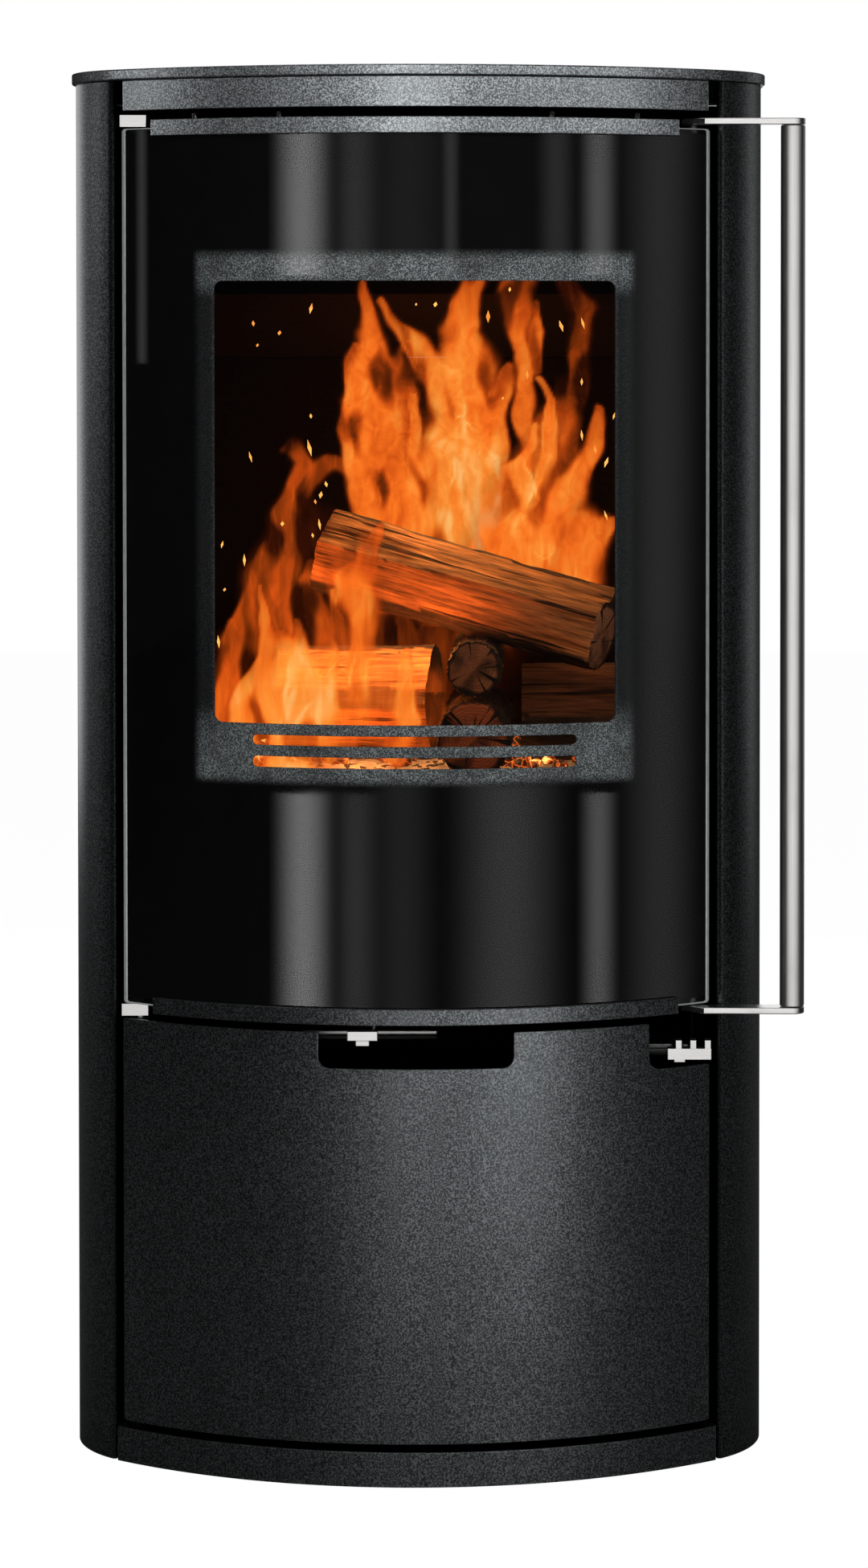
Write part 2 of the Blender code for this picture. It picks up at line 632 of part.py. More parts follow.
def build_ash_and_air(steel):
    """Build the ash pan and the two air chambers under it."""
    low = ASH_SHELF_TOP + GAP
    front = FRONT_Y + ASH_PAN_SETBACK
    pan_low = (-ASH_PAN_HALF_WIDTH, front, low)
    pan_high = (ASH_PAN_HALF_WIDTH, front + ASH_PAN_LENGTH, low + ASH_PAN_HEIGHT)
    pan = box("ash_pan", pan_low, pan_high, steel)
    inside_low = [value + ASH_PAN_SHEET for value in pan_low]
    inside_high = [pan_high[0] - ASH_PAN_SHEET, pan_high[1] - ASH_PAN_SHEET, pan_high[2] + ASH_PAN_HEIGHT]
    cut(pan, box("ash_pan_inside", inside_low, inside_high))
    channel("air_box", -AIR_BOX_HALF_WIDTH, AIR_BOX_HALF_WIDTH, FRONT_Y + AIR_BOX_SETBACK, AIR_BOX_LENGTH,
            AIR_BOX_DEPTH, steel)
    right = WALL_X - DUCT_WALL_GAP
    channel("primary_duct", right - DUCT_WIDTH, right, FRONT_Y + DUCT_SETBACK, DUCT_LENGTH, DUCT_DEPTH, steel)


def channel(name, left, right, front, length, depth, steel):
    """Build a folded channel that hangs under the ash shelf, open at the front."""
    high = UNDER_SHELF
    low = high - depth
    fold = CHAMBER_SHEET
    outline = [
        (left, low), (right, low), (right, high), (right - fold, high),
        (right - fold, low + fold), (left + fold, low + fold), (left + fold, high), (left, high),
    ]
    sheet(name, outline, front, front + length, steel, "XZ")


def build_hinges(bright):
    """Build the two hinge blocks with their pins, and the lower pin of the lower door."""
    rear_y = front_y(FRAME_INSET, HINGE_BLOCK_RIGHT) - GAP
    upper_low = GLASS_TOP + HINGE_BLOCK_LIFT
    lower_low = GLASS_BOTTOM - GAP - HINGE_BLOCK_HEIGHT
    blocks = []
    for name, low in (("upper_door_hinge", upper_low), ("lower_door_hinge", lower_low)):
        corner = (HINGE_BLOCK_LEFT, HINGE_BLOCK_FRONT_Y, low)
        blocks.append(box(name, corner, (HINGE_BLOCK_RIGHT, rear_y, low + HINGE_BLOCK_HEIGHT), bright))
    middle = upper_low + HINGE_BLOCK_HEIGHT / 2
    join(blocks[0], upright("upper_pin", -PIVOT_X, PIVOT_Y, upper_low - PIN_LENGTH, middle, PIN_RADIUS))
    middle = lower_low + HINGE_BLOCK_HEIGHT / 2
    pin_high = lower_low + HINGE_BLOCK_HEIGHT + PIN_LENGTH
    store_pin_low = STORE_DOOR_TOP - STORE_EYE_HEIGHT + PIN_END_CLEARANCE
    join(
        blocks[1],
        upright("lower_pin", -PIVOT_X, PIVOT_Y, middle, pin_high, PIN_RADIUS),
        upright("store_pin", -PIVOT_X, STORE_PIVOT_Y, store_pin_low, middle, PIN_RADIUS),
    )
    foot = STORE_FLOOR_TOP + GAP
    high = STORE_DOOR_BOTTOM
    pin = upright("store_hinge_pin", -PIVOT_X, STORE_PIVOT_Y, foot, high, STORE_PIN_FLANGE, bright)
    tip = STORE_DOOR_BOTTOM + STORE_EYE_HEIGHT - PIN_END_CLEARANCE
    join(pin, upright("store_pin_tip", -PIVOT_X, STORE_PIVOT_Y, foot + GAP, tip, PIN_RADIUS))


def eye(name, low, height, carrier, pivot_y, surface):
    """Build a hinge eye square to the bowed front, bored for its pin.

    The carrier is how far the back of the sheet that the eye sits on is set back.
    """
    high = low + height
    pin = Vector((-PIVOT_X, pivot_y))
    outward = Vector((-PIVOT_X, pivot_y - ARC_CENTRE_Y))
    reach = outward.length
    outward.normalize()
    along = Vector((-outward.y, outward.x)) * EYE_WIDTH / 2
    radius = FRONT_RADIUS - carrier - GAP
    near = outward * (math.sqrt(radius ** 2 - (EYE_WIDTH / 2) ** 2) - reach)
    far = near - outward * EYE_DEPTH
    block = sheet(name, [pin - along + near, pin - along + far, pin + along + far, pin + along + near],
                  low, high, surface)
    radius = PIN_RADIUS + PIN_CLEARANCE
    cut(block, upright(name + "_bore", -PIVOT_X, pivot_y, low - EYE_DEPTH, high + EYE_DEPTH, radius))
    return block


def build_door(glass, paint, steel, bright, rope):
    """Build the glass door and hang it on its axis."""
    half = DOOR_HALF_WIDTH
    outline = bowed_outline(GLASS_INSET, GLASS_INSET + GLASS_THICKNESS, -half, half)
    pane = sheet("door_glass", outline, GLASS_BOTTOM, GLASS_TOP, glass)
    half = DOOR_HALF_WIDTH - DOOR_PANEL_MARGIN
    outline = bowed_outline(PANEL_INSET, PANEL_INSET + DOOR_PANEL_SHEET, -half, half)
    low = GLASS_BOTTOM + DOOR_PANEL_END_MARGIN
    panel = sheet("door_panel", outline, low, GLASS_TOP - DOOR_PANEL_END_MARGIN, paint)
    cut(panel, round_window("window_cut", -WINDOW_HALF_WIDTH, WINDOW_HALF_WIDTH, WINDOW_BOTTOM, WINDOW_TOP,
                            WINDOW_CORNER))
    for below, height in SLOTS_BELOW_WINDOW:
        low = WINDOW_BOTTOM - below
        corner = height / 2 - GAP
        cut(panel, round_window("slot_cut", -SLOT_HALF_LENGTH, SLOT_HALF_LENGTH, low, low + height, corner))
    half = DOOR_FRAME_HALF_WIDTH
    outline = bowed_outline(DOOR_FRAME_FRONT, DOOR_FRAME_BACK, -half, half)
    frame = sheet("door_frame", outline, DOOR_FRAME_BOTTOM, DOOR_FRAME_TOP, steel)
    open_up(frame, half, DOOR_FRAME_BOTTOM, DOOR_FRAME_TOP, DOOR_FRAME_BAR)
    margin = (DOOR_FRAME_BAR - SEAL_WIDTH) / 2
    half = DOOR_FRAME_HALF_WIDTH - margin
    low = DOOR_FRAME_BOTTOM + margin
    high = DOOR_FRAME_TOP - margin
    seal = sheet("door_seal", bowed_outline(SEAL_FRONT, SEAL_BACK, -half, half), low, high, rope)
    open_up(seal, half, low, high, SEAL_WIDTH)
    pieces = [pane, panel, frame, seal]
    pieces += build_rails(paint, bright)
    pieces += build_door_fittings(steel)
    hang(pivot("door_axis", -PIVOT_X, PIVOT_Y, (GLASS_TOP + GLASS_BOTTOM) / 2), *pieces)


def open_up(piece, half, low, high, bar):
    """Cut the middle out of a bowed plate so that a frame of the bar's width is left."""
    corner = (bar - half, FRONT_Y, low + bar)
    cut(piece, box(piece.name + "_opening", corner, (half - bar, 0, high - bar)))


def build_rails(paint, bright):
    """Build the two rails that hook over the glass, and the screws on the upper one."""
    outer = -RAIL_PROUD
    inner = DOOR_FRAME_FRONT
    half = RAIL_HALF_WIDTH
    outline = bowed_outline(outer, inner, -half, half)
    behind = bowed_outline(GLASS_INSET - GAP, inner + WALL_SHEET, -DOOR_HALF_WIDTH, DOOR_HALF_WIDTH)
    low = GLASS_TOP - TOP_RAIL_LAP
    high = low + RAIL_HEIGHT
    top = sheet("top_rail", outline, low, high, paint)
    cut(top, sheet("top_rail_rebate", behind, low - WALL_SHEET, GLASS_TOP + GAP))
    bottom_high = GLASS_BOTTOM + BOTTOM_RAIL_LAP
    bottom = sheet("bottom_rail", outline, bottom_high - RAIL_HEIGHT, bottom_high, paint)
    cut(bottom, sheet("bottom_rail_rebate", behind, GLASS_BOTTOM - GAP, bottom_high + WALL_SHEET))
    pieces = [top, bottom]
    seat = high + GAP
    for number, x in enumerate(SCREW_XS, start=1):
        y = front_y((outer + inner) / 2, x)
        name = f"rail_screw_{number}"
        pieces.append(upright(name, x, y, seat, seat + SCREW_HEIGHT, SCREW_RADIUS, bright))
    return pieces


def build_door_fittings(steel):
    """Build the hinge eyes of the door and the two bearings of its latch shaft."""
    back = DOOR_FRAME_FRONT - GAP
    upper_low = GLASS_TOP + HINGE_BLOCK_LIFT - GAP - EYE_HEIGHT
    pieces = [
        eye("upper_hinge_eye", upper_low, EYE_HEIGHT, back, PIVOT_Y, steel),
        eye("lower_hinge_eye", GLASS_BOTTOM + GAP, EYE_HEIGHT, back, PIVOT_Y, steel),
    ]
    left = PIVOT_X - SHAFT_RADIUS - BEARING_WALL
    right = left + BEARING_WIDTH
    front = front_y(back, right) + GAP
    for name, low in (("upper_shaft_bearing", GLASS_TOP - BEARING_MARGIN - BEARING_HEIGHT),
                      ("lower_shaft_bearing", GLASS_BOTTOM + BEARING_MARGIN)):
        high = low + BEARING_HEIGHT
        block = box(name, (left, front, low), (right, front + BEARING_WIDTH, high), steel)
        bore = upright(name + "_bore", PIVOT_X, SHAFT_Y, low - BEARING_HEIGHT, high + BEARING_HEIGHT,
                       SHAFT_RADIUS + PIN_CLEARANCE)
        cut(block, bore)
        pieces.append(block)
    return pieces


def build_keepers(steel):
    """Build the two latch keepers on the front frame."""
    rear_y = front_y(FRAME_INSET, KEEPER_LEFT) - GAP
    for name, middle in zip(("lower_keeper", "upper_keeper"), LATCH_HEIGHTS):
        low = (KEEPER_LEFT, rear_y - KEEPER_DEPTH, middle - KEEPER_HEIGHT / 2)
        box(name, low, (KEEPER_RIGHT, rear_y, middle + KEEPER_HEIGHT / 2), steel)


def build_handle(bright, steel):
    """Build the long handle, its arms and the latch shaft, and hang them on their axis."""
    low = LOWER_ARM_HIGH + GAP
    high = UPPER_ARM_LOW - GAP
    bar = upright("handle_bar", HANDLE_X, HANDLE_Y, low, high, HANDLE_RADIUS, bright, ROUND_SIDES)
    near = HANDLE_Y + HANDLE_ARM_HALF_DEPTH
    far = HANDLE_Y - HANDLE_ARM_HALF_DEPTH
    lobe = SHAFT_RADIUS * 2
    outline = arc((HANDLE_X, HANDLE_Y), HANDLE_RADIUS, -math.pi / 2, math.pi / 2, 10)
    outline += [(PIVOT_X + lobe * 2, near), (PIVOT_X + lobe, near), (PIVOT_X + lobe, SHAFT_Y)]
    outline += arc((PIVOT_X, SHAFT_Y), lobe, 0, math.pi, 10)[1:]
    outline += [(PIVOT_X - lobe, near), (PIVOT_X + lobe, far)]
    upper = sheet("upper_handle_arm", outline, UPPER_ARM_LOW, UPPER_ARM_LOW + HANDLE_ARM_HEIGHT, bright)
    lower = sheet("lower_handle_arm", outline, LOWER_ARM_HIGH - HANDLE_ARM_HEIGHT, LOWER_ARM_HIGH, bright)
    shaft = upright("latch_shaft", PIVOT_X, SHAFT_Y, low, high, SHAFT_RADIUS, steel)
    for middle in LATCH_HEIGHTS:
        nose_low = (PIVOT_X - LATCH_NOSE_REACH, SHAFT_Y, middle - LATCH_NOSE_HEIGHT / 2)
        nose_high = (PIVOT_X + SHAFT_RADIUS / 2, SHAFT_Y + LATCH_NOSE_DEPTH, middle + LATCH_NOSE_HEIGHT / 2)
        join(shaft, box("latch_nose", nose_low, nose_high))
    hang(pivot("handle_axis", PIVOT_X, SHAFT_Y, (low + high) / 2), bar, upper, lower, shaft)


def build_store_door(paint, steel):
    """Build the lower door with its two notches and hang it on its axis."""
    half = DOOR_HALF_WIDTH
    top = STORE_DOOR_TOP
    outline = bowed_outline(0, STORE_DOOR_SHEET, -half, half)
    skin = sheet("store_door_skin", outline, STORE_DOOR_BOTTOM, top, paint)
    notch_right = CENTRE_NOTCH_LEFT + CENTRE_NOTCH_WIDTH
    depth = CENTRE_NOTCH_DEPTH
    cut(skin, round_window("centre_notch", CENTRE_NOTCH_LEFT, notch_right, top - depth, top + depth,
                           NOTCH_CORNER))
    depth = RIGHT_NOTCH_DEPTH
    cut(skin, round_window("right_notch", half - RIGHT_NOTCH_WIDTH, half + RIGHT_NOTCH_WIDTH, top - depth,
                           top + depth, NOTCH_CORNER))
    inset = STORE_DOOR_SHEET + GAP
    outline = bowed_outline(inset, inset + STORE_LINER_SHEET, -STORE_LINER_HALF_WIDTH, STORE_LINER_HALF_WIDTH)
    liner_top = top - RIGHT_NOTCH_DEPTH - STORE_LINER_MARGIN / 2
    liner = sheet("store_door_liner", outline, STORE_DOOR_BOTTOM + STORE_LINER_MARGIN, liner_top, steel)
    back = STORE_DOOR_SHEET
    upper = eye("store_upper_eye", top - STORE_EYE_HEIGHT, STORE_EYE_HEIGHT, back, STORE_PIVOT_Y, steel)
    bottom = STORE_DOOR_BOTTOM + GAP
    lower = eye("store_lower_eye", bottom, STORE_EYE_HEIGHT, back, STORE_PIVOT_Y, steel)
    hang(pivot("store_door_axis", -PIVOT_X, STORE_PIVOT_Y, (top + bottom) / 2), skin, liner, upper, lower)


def build_air_lever(bright):
    """Build the centre lever: a grip, a stem and a damper plate in the air box."""
    floor = UNDER_SHELF - AIR_BOX_DEPTH + CHAMBER_SHEET + GAP
    middle = AIR_GRIP_LEFT + AIR_GRIP_SIZE[0] / 2
    grip_low = STORE_DOOR_TOP - AIR_GRIP_SIZE[2] + AIR_GRIP_LIFT
    grip_front = FRONT_Y - AIR_GRIP_PROUD
    stem_left = middle - AIR_STEM_WIDTH / 2
    stem_right = middle + AIR_STEM_WIDTH / 2
    stem_low = grip_low + AIR_STEM_LAP - AIR_STEM_SHEET
    stem_rear = FRONT_Y + AIR_STEM_SETBACK
    width, length = AIR_DAMPER_SIZE
    damper_left = middle + AIR_DAMPER_OFFSET - width / 2
    damper_front = stem_rear - length / 2
    lever = box("air_lever", (damper_left, damper_front, floor),
                (damper_left + width, damper_front + length, floor + DAMPER_SHEET), bright)
    join(
        lever,
        box("air_riser", (stem_left, stem_rear - AIR_STEM_WIDTH, floor + DAMPER_SHEET / 2),
            (stem_right, stem_rear, stem_low + AIR_STEM_LAP)),
        box("air_stem", (stem_left, grip_front + AIR_STEM_LAP, stem_low),
            (stem_right, stem_rear - AIR_STEM_LAP, stem_low + AIR_STEM_SHEET)),
        box("air_grip", (AIR_GRIP_LEFT, grip_front, grip_low),
            (AIR_GRIP_LEFT + AIR_GRIP_SIZE[0], grip_front + AIR_GRIP_SIZE[1], grip_low + AIR_GRIP_SIZE[2])),
    )


def build_primary_lever(bright):
    """Build the right lever: a ridged grip, a stem and a damper plate in its duct."""
    floor = UNDER_SHELF - DUCT_DEPTH + CHAMBER_SHEET + GAP
    duct_right = WALL_X - DUCT_WALL_GAP - CHAMBER_SHEET
    duct_left = duct_right - DUCT_WIDTH + 2 * CHAMBER_SHEET
    front = FRONT_Y + PRIMARY_DAMPER_SETBACK
    side = PRIMARY_DAMPER_CLEARANCE
    lever = box("primary_lever", (duct_left + side, front, floor),
                (duct_right - side, front + PRIMARY_DAMPER_LENGTH, floor + DAMPER_SHEET), bright)
    right = PANEL_EDGE_X - PRIMARY_GRIP_EDGE_GAP
    left = right - PRIMARY_GRIP_SIZE[0]
    grip_front = FRONT_Y + PRIMARY_GRIP_SETBACK
    grip_rear = grip_front + PRIMARY_GRIP_SIZE[1]
    grip_low = STORE_DOOR_TOP - RIGHT_NOTCH_DEPTH + PRIMARY_GRIP_LIFT
    grip_high = grip_low + PRIMARY_GRIP_SIZE[2]
    stem_left = left + PRIMARY_STEM_INSET
    stem_low = floor + DAMPER_SHEET / 2
    join(
        lever,
        box("primary_stem", (stem_left, grip_rear - DAMPER_SHEET, stem_low),
            (stem_left + PRIMARY_STEM_WIDTH, grip_rear + PRIMARY_STEM_LENGTH, stem_low + PRIMARY_STEM_SHEET)),
        box("primary_grip", (left, grip_front, grip_low), (right, grip_rear, grip_high)),
    )
    pitch = PRIMARY_GRIP_SIZE[0] / PRIMARY_RIDGES
    for ridge in range(PRIMARY_RIDGES):
        ridge_right = right - GAP - pitch * ridge
        low = (ridge_right - PRIMARY_RIDGE_WIDTH, grip_front + GAP, grip_high - GAP)
        high = (ridge_right, grip_rear - GAP, grip_high + PRIMARY_RIDGE_HEIGHT)
        join(lever, box("primary_ridge", low, high))


def build_logs(wood):
    """Build the burning logs as plain round billets, each resting on what carries it."""
    seat = HEARTH_TOP + GAP
    x = ROUND_LOG_X
    bottom_z = seat + BOTTOM_LOG_RADIUS
    front = FRONT_Y + BOTTOM_LOG_SETBACK
    rear = front + BOTTOM_LOG_LENGTH
    rod("log_bottom", (x, front, bottom_z), (x, rear, bottom_z), BOTTOM_LOG_RADIUS, wood, LOG_SIDES)
    round_z = bottom_z + BOTTOM_LOG_RADIUS + GAP + ROUND_LOG_RADIUS
    front = FRONT_Y + ROUND_LOG_SETBACK
    rear = front + ROUND_LOG_LENGTH
    rod("log_round", (x, front, round_z), (x, rear, round_z), ROUND_LOG_RADIUS, wood, LOG_SIDES)
    right = x - BOTTOM_LOG_RADIUS - LOG_CLEARANCE
    y = FRONT_Y + LEFT_LOG_SETBACK
    z = seat + LEFT_LOG_RADIUS
    rod("log_left", (right - LEFT_LOG_LENGTH, y, z), (right, y, z), LEFT_LOG_RADIUS, wood, LOG_SIDES)
    left = x + BOTTOM_LOG_RADIUS + LOG_CLEARANCE * 3
    y = FRONT_Y + RIGHT_LOG_SETBACK
    z = seat + RIGHT_LOG_RADIUS
    rod("log_right", (left, y, z), (left + RIGHT_LOG_LENGTH, y, z), RIGHT_LOG_RADIUS, wood, LOG_SIDES)
    slope = math.tan(TOP_LOG_TILT)
    axis_z = round_z + (ROUND_LOG_RADIUS + GAP + TOP_LOG_RADIUS) / math.cos(TOP_LOG_TILT)
    ends = []
    for end_x, setback in zip((TOP_LOG_LEFT, TOP_LOG_LEFT + TOP_LOG_SPAN), TOP_LOG_SETBACKS):
        ends.append((end_x, FRONT_Y + setback, axis_z - (end_x - x) * slope))
    rod("log_top", ends[0], ends[1], TOP_LOG_RADIUS, wood, LOG_SIDES)


def main():
    """Clear the scene and build the stove."""
    global parts, cutters
    for item in list(bpy.data.objects):
        bpy.data.objects.remove(item)
    parts = bpy.data.collections.new("wood_stove")
    cutters = bpy.data.collections.new("cutters")
    for collection in (parts, cutters):
        bpy.context.scene.collection.children.link(collection)
    paint = material("anthracite paint", (0.045, 0.050, 0.053), 0.45, 0.4)
    body = material("black steel", (0.020, 0.020, 0.021), 0.6, 0.5)
    steel = material("plain steel", (0.22, 0.22, 0.22), 0.45, 0.9)
    iron = material("cast iron", (0.030, 0.030, 0.030), 0.7, 0.8)
    bright = material("satin stainless steel", (0.60, 0.59, 0.57), 0.25, 1.0)
    glass = material("dark glass", (0.010, 0.012, 0.013), 0.03, 0.0)
    brick = material("vermiculite", (0.30, 0.25, 0.18), 0.95, 0.0)
    rope = material("rope seal", (0.06, 0.06, 0.06), 0.95, 0.0)
    wood = material("split wood", (0.25, 0.11, 0.05), 0.85, 0.0)
    build_casing(paint, steel)
    build_inner_body(body, iron)
    build_lining(brick)
    build_ash_and_air(body)
    build_hinges(bright)
    build_keepers(steel)
    build_logs(wood)
    build_door(glass, paint, body, bright, rope)
    build_handle(bright, steel)
    build_store_door(paint, body)
    build_air_lever(bright)
    build_primary_lever(bright)
    bpy.context.view_layer.update()


main()
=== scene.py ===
"""The looks of a tall wood stove with a bowed glass door and a fire behind it.

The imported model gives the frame: every piece here stands where the model says,
in metres, with +Z up and the front of the stove facing -Y. The casing is
painted anthracite with a fine metallic speckle, the long handle and the levers
are satin stainless steel, and split logs burn in the firebox.
"""

import json
import logging
import math
import random
from dataclasses import dataclass
from enum import Enum
from functools import partial, reduce
from typing import Iterable, Sequence

import bmesh
import bpy
from mathutils import Matrix, Vector, noise

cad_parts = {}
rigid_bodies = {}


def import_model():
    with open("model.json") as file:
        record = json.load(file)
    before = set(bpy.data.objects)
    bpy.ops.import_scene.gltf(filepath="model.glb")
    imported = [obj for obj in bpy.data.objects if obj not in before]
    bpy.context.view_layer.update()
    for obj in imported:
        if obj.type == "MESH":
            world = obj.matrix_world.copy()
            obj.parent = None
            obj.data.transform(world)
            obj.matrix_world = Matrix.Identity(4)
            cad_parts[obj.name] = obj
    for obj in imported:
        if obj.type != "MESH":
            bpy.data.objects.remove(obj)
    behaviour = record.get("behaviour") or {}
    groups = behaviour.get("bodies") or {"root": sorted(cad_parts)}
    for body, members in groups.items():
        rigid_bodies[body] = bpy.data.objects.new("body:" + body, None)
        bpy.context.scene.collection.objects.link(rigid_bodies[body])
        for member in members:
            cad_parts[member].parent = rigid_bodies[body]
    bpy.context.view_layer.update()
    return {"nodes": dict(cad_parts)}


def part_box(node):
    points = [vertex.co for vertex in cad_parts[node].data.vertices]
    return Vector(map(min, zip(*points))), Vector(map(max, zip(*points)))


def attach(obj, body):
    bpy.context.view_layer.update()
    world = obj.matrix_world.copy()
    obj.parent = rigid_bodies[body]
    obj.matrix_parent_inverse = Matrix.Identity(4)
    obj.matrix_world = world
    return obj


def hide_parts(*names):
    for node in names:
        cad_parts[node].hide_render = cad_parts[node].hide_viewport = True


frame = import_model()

log = logging.getLogger("wood_stove")

Point = tuple[float, float]
Triple = tuple[float, float, float]
Loop = list[Point]
Socket = bpy.types.NodeSocket
Input = float | Sequence[float] | Socket
Mesh = bpy.types.Mesh
Piece = bpy.types.Object
Points = bmesh.types.BMesh
Vert = bmesh.types.BMVert

# The gap in metres between pieces that sit on each other
GAP = 0.0003


def shade(colour: Triple, share: float) -> Triple:
    """Return a colour made darker or lighter, with no part of it past 1."""
    return tuple(min(1.0, part * share) for part in colour)


def smooth_step(value: float, start: float, end: float) -> float:
    """Return a smooth step from 0 at start to 1 at end."""
    t = min(1.0, max(0.0, (value - start) / (end - start)))
    return t * t * (3 - 2 * t)


class Body(Enum):
    """The moving bodies of the stove that a piece can ride on."""

    STOVE = "stove"
    DOOR = "door"
    HANDLE = "handle"
    STORE_DOOR = "store_door"


class Side(Enum):
    """The two sides of the casing, as seen by someone facing the stove."""

    LEFT = -1
    RIGHT = 1


class Grain(Enum):
    """The way the brush or the rolls ran over a metal face."""

    UPRIGHT = (0.0004, 0.0004, 0.06)
    ACROSS = (0.06, 0.0004, 0.0004)


# Mixing finishes


class Recipe:
    """Builds the shader of one finish, node by node, at real size."""

    def __init__(self, name: str) -> None:
        """Start an empty material with one main shader.

        Args:
            name: The material's name.
        """
        self.material = bpy.data.materials.new(name)
        self.material.use_nodes = True
        self.tree = self.material.node_tree
        self.tree.nodes.clear()
        self.output = self.node("OutputMaterial")
        self.shader = self.node("BsdfPrincipled")
        self.tree.links.new(self.shader.outputs[0], self.output.inputs[0])

    def node(self, kind: str, **settings: object) -> bpy.types.Node:
        """Add a node.

        Args:
            kind: The node's type without its ShaderNode prefix.
            **settings: Properties to set on the node.

        Returns:
            The new node.
        """
        made = self.tree.nodes.new("ShaderNode" + kind)
        for key, value in settings.items():
            setattr(made, key, value)
        return made

    def feed(self, socket: Socket, value: Input) -> None:
        """Link or set one input.

        Args:
            socket: The input socket.
            value: Another node's output, or a plain number or colour.
        """
        if isinstance(value, Socket):
            self.tree.links.new(value, socket)
        elif socket.type == "RGBA" and len(value) == 3:
            socket.default_value = (*value, 1.0)
        else:
            socket.default_value = value

    def paint(self, **inputs: Input) -> None:
        """Feed the main shader.

        Args:
            **inputs: Values by input name, with spaces written as underscores.
        """
        for key, value in inputs.items():
            self.feed(self.shader.inputs[key.replace("_", " ")], value)

    def place(self, stretch: Triple = (1.0, 1.0, 1.0), turn: Triple = (0.0, 0.0, 0.0)) -> Socket:
        """Return the point on the piece, in metres, drawn out along each axis.

        Args:
            stretch: How many times longer the pattern is along x, y and z.
            turn: Turn of the pattern about x, y and z, in degrees.

        Returns:
            The position as a vector output.
        """
        mapping = self.node("Mapping")
        mapping.inputs["Scale"].default_value = [1.0 / s for s in stretch]
        mapping.inputs["Rotation"].default_value = [math.radians(a) for a in turn]
        self.feed(mapping.inputs["Vector"], self.node("TexCoord").outputs["Object"])
        return mapping.outputs["Vector"]

    def noise(self, size: float, place: Socket | None = None, detail: float = 2.0,
              rough: float = 0.5, warp: float = 0.0) -> Socket:
        """Return a soft random pattern.

        Args:
            size: The size of its largest spots in metres.
            place: Where it is read, or the plain position.
            detail: How many finer layers it has.
            rough: How strong the finer layers are.
            warp: How much it is swirled.

        Returns:
            The pattern as a number about 0.5.
        """
        made = self.node("TexNoise")
        self.feed(made.inputs["Vector"], place or self.place())
        settings = {"Scale": 1.0 / size, "Detail": detail, "Roughness": rough, "Distortion": warp}
        for key, value in settings.items():
            made.inputs[key].default_value = value
        return made.outputs[0]

    def cells(self, size: float, place: Socket | None = None, kind: str = "F1",
              output: str = "Distance") -> Socket:
        """Return a pattern of cells.

        Args:
            size: The cell size in metres.
            place: Where it is read, or the plain position.
            kind: F1 for spots, DISTANCE_TO_EDGE for cracks.
            output: Distance or Color.

        Returns:
            The chosen output.
        """
        made = self.node("TexVoronoi", feature=kind)
        self.feed(made.inputs["Vector"], place or self.place())
        made.inputs["Scale"].default_value = 1.0 / size
        return made.outputs[output]

    def math(self, operation: str, *values: Input) -> Socket:
        """Return the result of a Math node.

        Args:
            operation: Blender's name of the operation.
            *values: Its inputs.

        Returns:
            The result.
        """
        made = self.node("Math", operation=operation)
        for socket, value in zip(made.inputs, values):
            self.feed(socket, value)
        return made.outputs[0]

    def times(self, *values: Input) -> Socket:
        """Return the product of the values."""
        return reduce(partial(self.math, "MULTIPLY"), values)

    def plus(self, *values: Input) -> Socket:
        """Return the sum of the values."""
        return reduce(partial(self.math, "ADD"), values)

    def least(self, *values: Input) -> Socket:
        """Return the smallest of the values."""
        return reduce(partial(self.math, "MINIMUM"), values)

    def most(self, *values: Input) -> Socket:
        """Return the largest of the values."""
        return reduce(partial(self.math, "MAXIMUM"), values)

    def fade(self, value: Input, start: float, end: float, low: float = 0.0, high: float = 1.0) -> Socket:
        """Return a smooth step.

        Args:
            value: What is measured.
            start: Where the step begins; it may be above end.
            end: Where it ends.
            low: The result at start.
            high: The result at end.

        Returns:
            The stepped value.
        """
        made = self.node("MapRange", interpolation_type="SMOOTHSTEP")
        if start > end:
            start, end, low, high = end, start, high, low
        for key, number in (("From Min", start), ("From Max", end), ("To Min", low), ("To Max", high)):
            made.inputs[key].default_value = number
        self.feed(made.inputs["Value"], value)
        return made.outputs["Result"]

    def blend(self, share: Input, first: Input, second: Input) -> Socket:
        """Return a mix of two colours.

        Args:
            share: How much of the second there is.
            first: The first colour.
            second: The second colour.

        Returns:
            The mixed colour.
        """
        made = self.node("Mix", data_type="RGBA")
        self.feed(made.inputs[0], share)
        self.feed(made.inputs[6], first)
        self.feed(made.inputs[7], second)
        return made.outputs[2]

    def ramp(self, value: Input, stops: Iterable[tuple[float, Triple]]) -> Socket:
        """Return a colour read from a ramp.

        Args:
            value: Where it is read, 0 to 1.
            stops: Pairs of a place and its colour.

        Returns:
            The colour.
        """
        made = self.node("ValToRGB")
        self.feed(made.inputs[0], value)
        elements = made.color_ramp.elements
        for number, (spot, colour) in enumerate(stops):
            element = elements[number] if number < 2 else elements.new(spot)
            element.position = spot
            element.color = (*colour, 1.0)
        return made.outputs[0]

    def bump(self, height: Input, depth: float) -> Socket:
        """Return a bumped surface direction.

        Args:
            height: The height pattern, 0 to 1.
            depth: The height of 1 in metres.

        Returns:
            The normal.
        """
        made = self.node("Bump")
        made.inputs["Strength"].default_value = 1.0
        made.inputs["Distance"].default_value = depth
        self.feed(made.inputs["Height"], height)
        return made.outputs[0]

